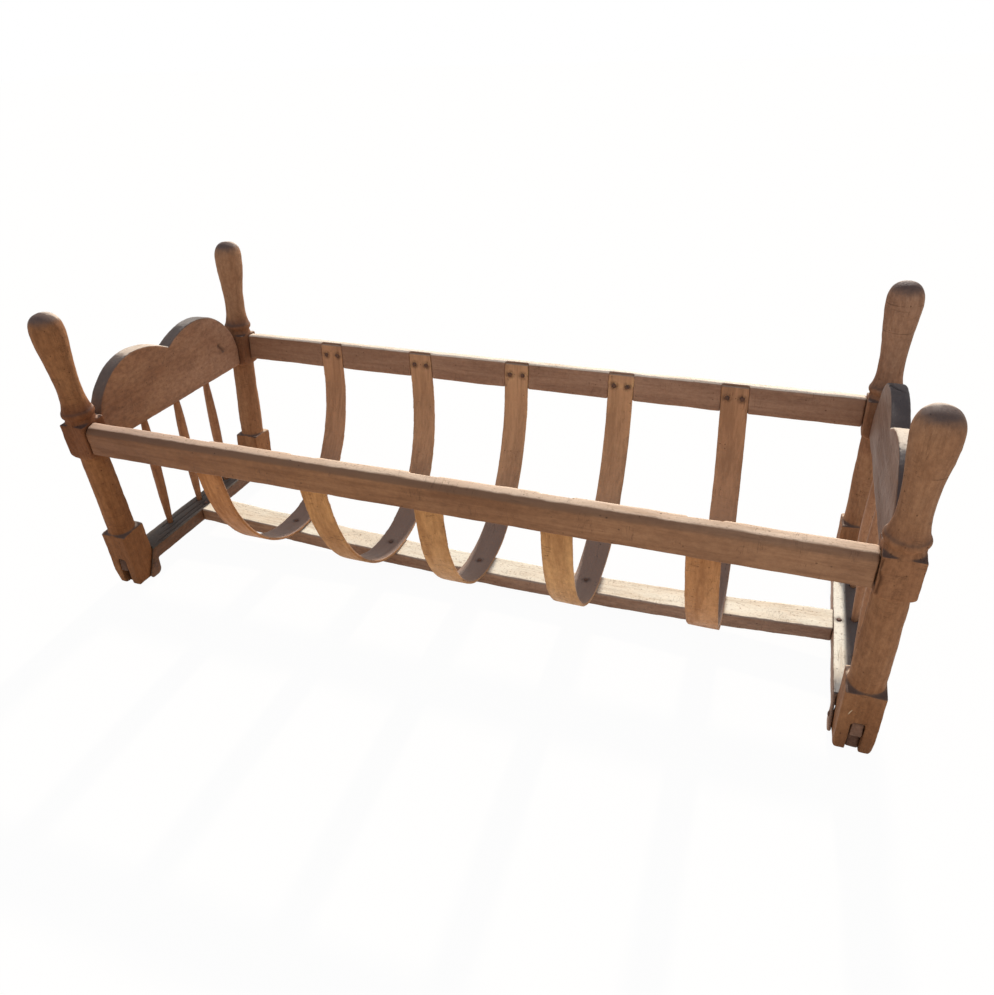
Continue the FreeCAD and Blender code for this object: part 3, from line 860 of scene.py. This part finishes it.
# Sunny: faces turned to the sun lamp, painted pale as bleaching and painted sunlight.
sunny = span(weather_light_group, sunward, ends_in["Sun Start"], sun_full)
sunny = calc(weather_light_group, "MULTIPLY", sunny, span(weather_light_group, upward, *level_faces))
# Shaded: faces that look up, painted dark as dust and painted shade.
shaded = span(weather_light_group, upward, ends_in["Shade Start"], ends_in["Shade End"])
specks = noise(weather_light_group, ends_in["Grain"], speck_waves, detail=3, roughness=0.65)
specks = span(weather_light_group, specks, *speck_range)
feed(weather_light_group, ends_out["Up"], upward)
feed(weather_light_group, ends_out["Sunny"], sunny)
feed(weather_light_group, ends_out["Shaded"], shaded)
feed(weather_light_group, ends_out["Specks"], specks)
print("group made:", weather_light_group.name)

# %% [markdown]
# ## Aged wood
# All timbers share one recipe with their own colours. Two browns are mixed by the grain, mottled by
# broad patches, rubbed pale along the arrises, painted pale on top where they face the sun, as bleaching
# and painted sunlight, and painted dark where they face up, as dust and painted shade. Joints, nail
# stains, worm holes and checks darken it. Copying a material for each timber would repeat all of that, so
# the recipe is a few functions, and each timber states only the habits in which it differs from plain
# wood.

# %% Habits of plain wood
# Bleaching paints faces turned to the sun pale, partly as painted sunlight; shade sets how much painted
# shade the patina lays on faces that look up.
plain_wood = {
    "bleach": 0.9,
    "shade": 0.85,
    "rubbed": 0.3,
    "cross": 0.5,
    "checks": 0.6,
    "roughness": 0.55,
    "streaks": 0.8,
    "mottle": 0.5,
    "ragged": 0.3,
    "sun_start": 0.24,
    "shade_range": (0.25, 0.65),
    "sun_edge": None,
    "dark_ends": False,
    "inner": None,
    "patches": 0.35,
    "specks": 0.42,
    "blotches": 0.3,
    "grime": 0.4,
    "shine": 0.22,
    "turned": False,
}
print("plain wood has", len(plain_wood), "habits")


# %% Start a wood
def attribute(tree, name):
    return add_node(tree, "ShaderNodeAttribute", attribute_name=name).outputs


def start_wood(name, use):
    """A new material with the shared effects placed in it, ready for its colours."""
    look = bpy.data.materials.new(name)
    look.use_nodes = True
    tree = look.node_tree
    tree.nodes["Principled BSDF"].inputs["Specular IOR Level"].default_value = use["shine"]
    place = attribute(tree, "grain")["Vector"]
    spot = add_node(tree, "ShaderNodeTexCoord").outputs["Object"]
    weather_habits = {
        "Ragged": use["ragged"],
        "Sun Start": use["sun_start"],
        "Shade Start": use["shade_range"][0],
        "Shade End": use["shade_range"][1],
    }
    return SimpleNamespace(
        look=look,
        tree=tree,
        use=use,
        place=place,
        spot=spot,
        where=parts_of(tree, spot),
        grain=place_group(tree, grain_group, Grain=place),
        marks=place_group(tree, marks_group, Grain=place),
        edges=place_group(tree, edges_group, Grain=place),
        weather_and_light=place_group(tree, weather_light_group, Grain=place, **weather_habits),
        cross=use["cross"],
        scribed=0.0,
    )


shared_groups = (grain_group, marks_group, edges_group, weather_light_group)
print("each wood places:", ", ".join(group.name for group in shared_groups))

# %% [markdown]
# ## Brown wood
# Under its weather the wood is a mix of a light and a dark brown. Broad patches and fine mottling stain
# it, and the whole cradle is painted lighter and greyer from the front left to the back right, as painted
# light. The gradient runs over object coordinates, so that it passes from piece to piece. The feet take
# less of it and stay darker.

# %% Mix the browns
patch_tint = (0.60, 0.50, 0.45, 1)
mottle_dark = (0.62, 0.58, 0.56, 1)
mottle_light = (1.32, 1.32, 1.30, 1)
light_slope = (1.1, 2.8, 0.0)
light_range = (-1.0, 0.75)
foot_heights = (0.06, 0.13)
foot_light_share = 0.4
front_left_shade_tint = (0.87, 0.87, 0.83, 1)
back_right_light_tint = (1.15, 1.45, 1.95, 1)


def tinted(tree, amount, share, colour, tint):
    """A colour times a tint, as far as an amount and its share say."""
    return blend(tree, calc(tree, "MULTIPLY", amount, share), colour, tint, "MULTIPLY")


def browned(wood):
    """The timber's two browns with patches, mottling and the cradle's painted gradient of light."""
    tree, use, grain = wood.tree, wood.use, wood.grain
    half = use["streaks"] / 2
    wood.tone = span(tree, grain["Tone"], 0.0, 1.0, 0.5 - half, 0.5 + half)
    colour = blend(tree, wood.tone, use["dark"], use["light"])
    colour = tinted(tree, grain["Patch"], use["patches"], colour, patch_tint)
    cloudy = blend(tree, grain["Mottle"], mottle_dark, mottle_light)
    colour = blend(tree, use["mottle"], colour, cloudy, "MULTIPLY")
    # The fade is painted light: lighter and greyer towards the back right, less on the feet.
    fade = span(tree, reach_along(tree, wood.spot, light_slope), *light_range)
    if use["turned"]:
        above_foot = span(tree, wood.where["Z"], *foot_heights, foot_light_share, 1.0)
        fade = calc(tree, "MULTIPLY", fade, above_foot)
    painted_light_tint = blend(tree, fade, front_left_shade_tint, back_right_light_tint)
    return blend(tree, 1.0, colour, painted_light_tint, "MULTIPLY")


print("browns fade from", front_left_shade_tint[:3], "to", back_right_light_tint[:3])

# %% [markdown]
# ## The inside of a rib
# A rib's inside is redder and less scratched than its golden outside. Painting it would need a mask for
# each rib, but on a strip that is bent upwards the inside is simply what faces up, so the upward value of
# the weathering and painted light group finds it.

# %% Line the ribs
inner_facing = (-0.05, 0.08)
inner_share = 0.8
inner_dark = 0.8
inner_light = 1.15


def shifted(colour, factor):
    """A colour made lighter or darker by a factor."""
    return tuple(part * factor for part in colour[:3]) + (1,)


def lined(wood, colour):
    """The redder inside of a rib, with fewer scratches."""
    tree, inner = wood.tree, wood.use["inner"]
    inside = span(tree, wood.weather_and_light["Up"], *inner_facing)
    inside = calc(tree, "MULTIPLY", inside, inner_share)
    wood.cross = calc(tree, "SUBTRACT", wood.cross, inside)
    lining = blend(tree, wood.tone, shifted(inner, inner_dark), shifted(inner, inner_light))
    return blend(tree, inside, colour, lining)


print("ribs lined with a share of", inner_share)

# %% [markdown]
# ## Bleached and sunlit tops, patina and painted shade
# What faces up is painted dark, as dust and smoke and as painted shade, and then pale where it faces the
# sun, as bleaching and painted sunlight. A timber that is painted half in shadow has an edge, a place
# along one axis where bleaching starts and a place where it is full. The bleached wood isn't even: patches
# and dark streaks still show through it, and dirt speckles it.

# %% Weather the colour
blotch_tint = (0.88, 0.74, 0.64, 1)
dark_streak_tones = (0.45, 0.05)
dark_streak_share = 0.5
dark_streak_tint = (0.68, 0.58, 0.50, 1)
shaded_specks = 0.2


def weathered_and_painted_light(wood, colour):
    """Patina as painted shade, bleaching with painted sunlight and its specks, and arrises rubbed pale."""
    tree, use, grain, weather_and_light = wood.tree, wood.use, wood.grain, wood.weather_and_light
    # The patina is painted shade on faces that look up, thinned where the front rail stores it.
    shade_share = calc(tree, "SUBTRACT", use["shade"], attribute(tree, "thinned_shade")["Fac"], clamp=True)
    colour = blend(tree, calc(tree, "MULTIPLY", weather_and_light["Shaded"], shade_share), colour, use["patina"])
    # Bleaching is painted sunlight too, on faces turned to the sun.
    sunny = calc(tree, "MULTIPLY", weather_and_light["Sunny"], use["bleach"])
    # A sun edge is the edge of a painted shadow: bleaching stops there along one axis.
    if use["sun_edge"]:
        axis, start, full = use["sun_edge"]
        sunny = calc(tree, "MULTIPLY", sunny, span(tree, wood.where[axis], start, full))
    pale = tinted(tree, grain["Patch"], use["blotches"], use["bleached"], blotch_tint)
    dark_streaks = span(tree, grain["Tone"], *dark_streak_tones, 0.0, dark_streak_share)
    pale = blend(tree, dark_streaks, pale, dark_streak_tint, "MULTIPLY")
    colour = blend(tree, sunny, colour, pale)
    speckled = span(tree, sunny, 0.0, 1.0, shaded_specks, use["specks"])
    colour = blend(tree, calc(tree, "MULTIPLY", weather_and_light["Specks"], speckled), colour, use["dark"])
    wood.sunny = sunny
    rubbed = calc(tree, "MULTIPLY", wood.edges["Edge"], use["rubbed"])
    return blend(tree, rubbed, colour, use["bleached"])


print("bleached wood shows dark streaks by", dark_streak_share)

# %% [markdown]
# ## Dirt, and painted shade on the ears
# Hollows and joints are brown with grime, the wood round the nails is black, hands darkened the posts'
# collars, and the front rail is darker at its left end. Each mask stored on the mesh darkens the colour by
# its own tint. A tint multiplies, so the grain stays visible through the dirt. The end rails' lapped ears
# lie in the posts' shade, and that shade is painted on them as a darker tint.

# %% Soil the colour
hollow_share = 0.6
hollow_tint = (0.30, 0.20, 0.16, 1)
grime_tint = (0.34, 0.24, 0.19, 1)
stain_tint = (0.16, 0.13, 0.12, 1)
stain_range = (0.9, 0.2)
handled_tint = (0.55, 0.45, 0.48, 1)
ear_places = (0.162, 0.166)
ear_shade_tint = (0.62, 0.56, 0.54, 1)


def soiled(wood, colour):
    """Grime, nail stains and handling, and painted shade on the end rails' ears."""
    tree, use = wood.tree, wood.use
    stain_share = span(tree, wood.grain["Mottle"], 0.0, 1.0, *stain_range)
    dirt = (
        (wood.edges["Hollow"], hollow_share, hollow_tint),
        (attribute(tree, "grime")["Fac"], use["grime"], grime_tint),
        (attribute(tree, "stain")["Fac"], stain_share, stain_tint),
        (attribute(tree, "handled")["Fac"], 1.0, handled_tint),
    )
    for amount, share, tint in dirt:
        colour = tinted(tree, amount, share, colour, tint)
    # Painted shade: the end rails' ears are darker where the posts shade them.
    if use["dark_ends"]:
        shaded_ears = span(tree, calc(tree, "ABSOLUTE", wood.where["Y"]), *ear_places)
        colour = tinted(tree, shaded_ears, 1.0, colour, ear_shade_tint)
    return colour


print("dirt: hollows, joints, nail stains, handling and ears")

# %% [markdown]
# ## Marks on the turned posts
# The chip is a short slanting sliver: it is drawn where two distances, along it and across it, are both
# small, and noise makes its border wander. The scribed lines are drawn at their heights along the post's
# axis and broken up, as a worn line is. The finials are paler and less red, where hands polished them.

# %% Draw the chip
chip_colour = (0.62, 0.46, 0.30, 1)
chip_middle = Vector((0.4889, 0, 0.0617))
chip_along = Vector((0.34, 0, 0.94))
chip_across = Vector((0.94, 0, -0.34))
chip_half_length = 0.0048
chip_half_width = 0.0007
chip_core = 0.4
chip_waves = (300, 300, 300)
chip_wander = 0.0014


def chip_on(wood):
    """Where the fresh chip shows: 1 in its middle and 0 outside it."""
    tree = wood.tree
    chip = attribute(tree, "chip")["Fac"]
    wander = noise(tree, wood.spot, chip_waves, detail=2, roughness=0.5)
    wander = calc(tree, "MULTIPLY", wander, chip_wander)
    for direction, half in ((chip_along, chip_half_length), (chip_across, chip_half_width)):
        middle = direction.dot(chip_middle) + chip_wander / 2
        place = calc(tree, "ADD", reach_along(tree, wood.spot, direction), wander)
        away = calc(tree, "ABSOLUTE", calc(tree, "SUBTRACT", place, middle))
        chip = calc(tree, "MULTIPLY", chip, span(tree, away, half, half * chip_core))
    return chip


print("chip:", round(2000 * chip_half_length, 1), "mm long")

# %% Draw the scribed lines
scribe_heights = [height for _, heights in scribed.values() for height in heights]
scribe_width = 0.0009
scribe_waves = (20, 45, 45)
scribe_range = (0.40, 0.55)
scribe_faintest = 0.1
scribe_strongest = 0.7


def scribe_lines(wood):
    """Where the scribed lines show, as a mask."""
    tree = wood.tree
    up_post = parts_of(tree, wood.place)["X"]
    worn = noise(tree, wood.place, scribe_waves, detail=2, roughness=0.5)
    worn = span(tree, worn, *scribe_range, scribe_faintest, scribe_strongest)
    worn = calc(tree, "MULTIPLY", worn, attribute(tree, "scribed")["Fac"])
    lines = 0.0
    for height in scribe_heights:
        away = calc(tree, "ABSOLUTE", calc(tree, "SUBTRACT", up_post, height))
        line = calc(tree, "MULTIPLY", span(tree, away, scribe_width, 0.0), worn)
        lines = calc(tree, "MAXIMUM", lines, line)
    return lines


print("scribed lines:", len(scribe_heights))

# %% Mark the posts
finial_heights = (0.27, 0.34)
polished_tint = (1.06, 1.16, 1.30, 1)


def post_marked(wood, colour):
    """A post's polished finial and its chip, and its scribed lines for the relief."""
    finial = span(wood.tree, wood.where["Z"], *finial_heights)
    colour = blend(wood.tree, finial, colour, polished_tint, "MULTIPLY")
    wood.scribed = scribe_lines(wood)
    return blend(wood.tree, chip_on(wood), colour, chip_colour)


print("finials polished from", finial_heights[0], "m up")

# %% [markdown]
# ## Relief and sheen
# Checks, scratches, holes and scars are all dark and lie deeper, so one mask both colours them and lowers
# the surface. Real displacement of such fine marks would need millions of faces, and a bump is enough.
# Dark grain is a little rougher than light grain, and bleached wood is rougher still.

# %% Relief and sheen
dent_share = 0.75
dent_tint = (0.18, 0.13, 0.10, 1)
dark_grain_rougher = 0.12
light_grain_smoother = 0.05
bleached_rougher = 0.15
relief_share = 0.4
wood_bump = (0.5, 0.0006)


def bumped(tree, level, strength, depth):
    """Gives a material's surface small relief from a level."""
    bump = add_node(tree, "ShaderNodeBump")
    bump.inputs["Strength"].default_value = strength
    bump.inputs["Distance"].default_value = depth
    feed(tree, bump.inputs["Height"], level)
    feed(tree, tree.nodes["Principled BSDF"].inputs["Normal"], bump.outputs[0])


def surfaced(wood, colour):
    """The dents' colour, and the shader's colour, roughness and relief."""
    tree, use, grain, marks = wood.tree, wood.use, wood.grain, wood.marks
    dents = calc(tree, "MULTIPLY", marks["Checks"], use["checks"])
    scratches = calc(tree, "MULTIPLY", marks["Cross"], wood.cross)
    for mark in (scratches, wood.scribed, marks["Holes"], attribute(tree, "scar")["Fac"]):
        dents = calc(tree, "MAXIMUM", dents, mark)
    shader = tree.nodes["Principled BSDF"]
    feed(tree, shader.inputs["Base Color"], tinted(tree, dents, dent_share, colour, dent_tint))
    roughest = use["roughness"] + dark_grain_rougher
    smoothest = use["roughness"] - light_grain_smoother
    rough = span(tree, grain["Tone"], 0.0, 1.0, roughest, smoothest)
    rough = calc(tree, "ADD", rough, calc(tree, "MULTIPLY", wood.sunny, bleached_rougher))
    feed(tree, shader.inputs["Roughness"], rough)
    raised = [(grain[layer], relief_share) for layer in ("Fibre", "Tone", "Mottle")]
    bumped(tree, weighted(tree, (dents, -1.0), *raised), *wood_bump)


print("relief of wood:", wood_bump[1], "m deep")

# %% [markdown]
# ## The whole recipe
# The order matters. The browns come first and the weather with its painted light and shade lies over
# them, the dirt lies over both, and the dents go through all. One function puts the steps together, so
# that every timber gets them alike.


# %% Put the recipe together
def aged_wood(name, **habits):
    """A timber's material: its colours, and the habits that differ from plain wood's."""
    wood = start_wood(name, {**plain_wood, **habits})
    colour = browned(wood)
    if wood.use["inner"]:
        colour = lined(wood, colour)
    colour = soiled(wood, weathered_and_painted_light(wood, colour))
    if wood.use["turned"]:
        colour = post_marked(wood, colour)
    surfaced(wood, colour)
    return wood.look


woods = {}
print("recipe for aged wood ready")

# %% [markdown]
# ## Posts and spindles
# The posts are turned from reddish brown wood, duller than the rails' and with weaker streaks. Only
# their tops are bleached, with a painted sunlit rim, and the faces that look up, such as the blocks'
# shoulders, get the patina's painted shade. The spindles have plain wood's habits and need no more than
# their own colours.

# %% Woods of the turned pieces
# Posts: a late sun start paints only a sunlit rim on the finials, and the dark patina is painted shade.
woods["post"] = aged_wood(
    "post wood",
    light=(0.345, 0.150, 0.060, 1),
    dark=(0.225, 0.090, 0.035, 1),
    bleached=(0.62, 0.46, 0.32, 1),
    patina=(0.085, 0.056, 0.044, 1),
    bleach=0.8,
    rubbed=0.2,
    checks=0.3,
    streaks=0.6,
    patches=0.5,
    ragged=0.2,
    roughness=0.68,
    shine=0.12,
    sun_start=0.45,
    shade_range=(0.15, 0.75),
    turned=True,
)
woods["spindle"] = aged_wood(
    "spindle wood",
    light=(0.39, 0.165, 0.067, 1),
    dark=(0.26, 0.104, 0.042, 1),
    bleached=(0.45, 0.30, 0.20, 1),
    patina=(0.12, 0.08, 0.06, 1),
)
print("woods so far:", ", ".join(woods))

# %% [markdown]
# ## Side rails
# The front rail's top is cream, with a dark band along its worn outer shoulder: there the patina, as
# painted shade, starts on faces that hardly look up. The back rail shows its whole rounded top to the
# sun, so its bleached colour starts even on faces that turn away from it, as a painted sunlit strip.

# %% Woods of the side rails
# The front rail's dark shoulder band is painted shade.
woods["rail"] = aged_wood(
    "rail wood",
    light=(0.36, 0.167, 0.072, 1),
    dark=(0.226, 0.099, 0.043, 1),
    bleached=(0.78, 0.555, 0.372, 1),
    patina=(0.178, 0.090, 0.046, 1),
    ragged=0.22,
    checks=0.4,
    mottle=0.35,
    streaks=0.65,
    patches=0.45,
    sun_start=0.02,
    shade_range=(0.05, 0.50),
)
# The back rail's bleaching reaches faces turned from the sun: a painted sunlit strip.
woods["back rail"] = aged_wood(
    "back rail wood",
    light=(0.35, 0.162, 0.075, 1),
    dark=(0.23, 0.100, 0.046, 1),
    bleached=(0.78, 0.64, 0.48, 1),
    patina=(0.40, 0.28, 0.20, 1),
    bleach=0.95,
    ragged=0.16,
    checks=0.4,
    mottle=0.35,
    streaks=0.65,
    sun_start=-0.45,
    shade_range=(0.45, 0.90),
    grime=0.15,
)
print("woods so far:", ", ".join(woods))

# %% [markdown]
# ## End boards
# The left board is blotchy, with weak streaks, and its lobes are dark on top with painted shade. The
# right board is seen from its shaded side, so it is painted darker and plainer, and only the front part
# of its top is bleached and sunlit: behind that the back post's shadow is painted.

# %% Woods of the end boards
# Left board: the patina darkens the lobes' tops as painted shade.
woods["board"] = aged_wood(
    "board wood",
    light=(0.38, 0.180, 0.088, 1),
    dark=(0.28, 0.128, 0.062, 1),
    bleached=(0.62, 0.50, 0.38, 1),
    patina=(0.080, 0.068, 0.060, 1),
    checks=0.35,
    mottle=0.65,
    patches=0.65,
    streaks=0.4,
    ragged=0.15,
)
# Right board: darker browns paint its shaded side, and the sun edge on Y paints the back post's shadow on
# its top.
woods["right board"] = aged_wood(
    "shaded board wood",
    light=(0.222, 0.110, 0.059, 1),
    dark=(0.168, 0.081, 0.043, 1),
    bleached=(0.66, 0.54, 0.41, 1),
    patina=(0.046, 0.040, 0.040, 1),
    sun_edge=("Y", 0.025, 0.005),
    ragged=0.1,
    checks=0.2,
    mottle=0.3,
    streaks=0.5,
    shine=0.12,
)
print("woods so far:", ", ".join(woods))

# %% [markdown]
# ## Stretcher and end rails
# The stretcher is bleached nearly white on top, partly as painted sunlight, with dark specks and
# blotches. The right end rail is pale only on its inner half, with a crisp edge: its outer half is the end
# board's painted shadow. The left one is painted dark all over, as shade.

# %% Woods of the low timbers
# Stretcher: its near-white top is bleaching and painted sunlight.
woods["base"] = aged_wood(
    "base wood",
    light=(0.40, 0.210, 0.110, 1),
    dark=(0.25, 0.120, 0.060, 1),
    bleached=(0.75, 0.68, 0.525, 1),
    patina=(0.30, 0.220, 0.160, 1),
    bleach=0.92,
    specks=0.6,
    blotches=0.6,
)
# Right end rail: the sun edge on X paints the end board's shadow over the outer half of its top.
woods["half lit base"] = aged_wood(
    "half lit base wood",
    light=(0.36, 0.180, 0.090, 1),
    dark=(0.22, 0.100, 0.050, 1),
    bleached=(0.76, 0.69, 0.55, 1),
    patina=(0.088, 0.064, 0.052, 1),
    bleach=0.95,
    sun_edge=("X", 0.491, 0.486),
    shade=1.0,
    dark_ends=True,
)
# Left end rail: painted shade, dark all over.
woods["dark base"] = aged_wood(
    "shaded base wood",
    light=(0.20, 0.090, 0.042, 1),
    dark=(0.13, 0.058, 0.028, 1),
    bleached=(0.085, 0.062, 0.046, 1),
    patina=(0.066, 0.062, 0.046, 1),
    cross=0.2,
    shade=1.0,
    dark_ends=True,
)
print("woods so far:", ", ".join(woods))

# %% [markdown]
# ## Ribs
# The ribs are thin strips of golden wood, strongly streaked and scratched outside, with the redder lining
# inside. Only their tips above the rails are bleached, partly as painted sunlight, and the patina paints
# shade low on their insides. The three middle ones are more golden than the two at the ends, so both woods
# share their habits and differ in their browns.

# %% Woods of the ribs
# Ribs: the sun edge on Z keeps the painted sunlight to the tips, and the patina is painted shade low
# inside.
rib_habits = {
    "bleached": (0.55, 0.40, 0.26, 1),
    "patina": (0.216, 0.134, 0.092, 1),
    "inner": (0.40, 0.205, 0.108, 1),
    "sun_edge": ("Z", 0.2625, 0.2685),
    "streaks": 1.0,
    "cross": 1.0,
    "mottle": 0.35,
    "ragged": 0.12,
    "shade": 0.95,
    "shade_range": (0.55, 0.95),
    "grime": 0.1,
}
woods["rib"] = aged_wood(
    "rib wood",
    light=(0.54, 0.232, 0.078, 1),
    dark=(0.374, 0.149, 0.049, 1),
    **rib_habits,
)
woods["golden rib"] = aged_wood(
    "golden rib wood",
    light=(0.66, 0.330, 0.117, 1),
    dark=(0.46, 0.211, 0.074, 1),
    **rib_habits,
)
print("woods:", ", ".join(woods))

# %% [markdown]
# ## Forged nails
# The nails were made by a smith: dark scale with spots of brown rust. One noise texture chooses between
# the scale and the rust, which is rougher and hardly metallic, and a finer one gives both their grit.

# %% Iron recipe
scale_colour = (0.045, 0.032, 0.026, 1)
rust_colour = (0.130, 0.058, 0.032, 1)
rust_waves = (420, 420, 420)
rust_range = (0.32, 0.56)
scale_rough, rust_rough = 0.45, 0.85
scale_metal, rust_metal = 0.7, 0.05
grit_waves = (1500, 1500, 1500)
iron_bump = (0.4, 0.0003)

iron = bpy.data.materials.new("nail iron")
iron.use_nodes = True
tree = iron.node_tree
shader = tree.nodes["Principled BSDF"]
spot = add_node(tree, "ShaderNodeTexCoord").outputs["Object"]
rust = span(tree, noise(tree, spot, rust_waves, detail=4, roughness=0.65), *rust_range)
feed(tree, shader.inputs["Base Color"], blend(tree, rust, scale_colour, rust_colour))
feed(tree, shader.inputs["Roughness"], span(tree, rust, 0.0, 1.0, scale_rough, rust_rough))
feed(tree, shader.inputs["Metallic"], span(tree, rust, 0.0, 1.0, scale_metal, rust_metal))
grit = noise(tree, spot, grit_waves, detail=3, roughness=0.6)
bumped(tree, grit, *iron_bump)
print("iron made:", iron.name)

# %% [markdown]
# ## Each piece its finish
# Most pieces take the finish of their kind. A few single timbers differ: three ribs in their browns, the
# others in their painted light and shade, so a short list names those.

# %% Give the finishes
single_woods = {
    "left_end_rail": "dark base",
    "right_end_rail": "half lit base",
    "back_rail": "back rail",
    "right_end_board": "right board",
    "rib_2": "golden rib",
    "rib_3": "golden rib",
    "rib_4": "golden rib",
}
finishes = {**woods, "nail": iron}
for node, piece in pieces.items():
    piece.data.materials.clear()
    piece.data.materials.append(finishes[single_woods.get(node, family_of(node))])
print("finishes given to", len(pieces), "pieces")
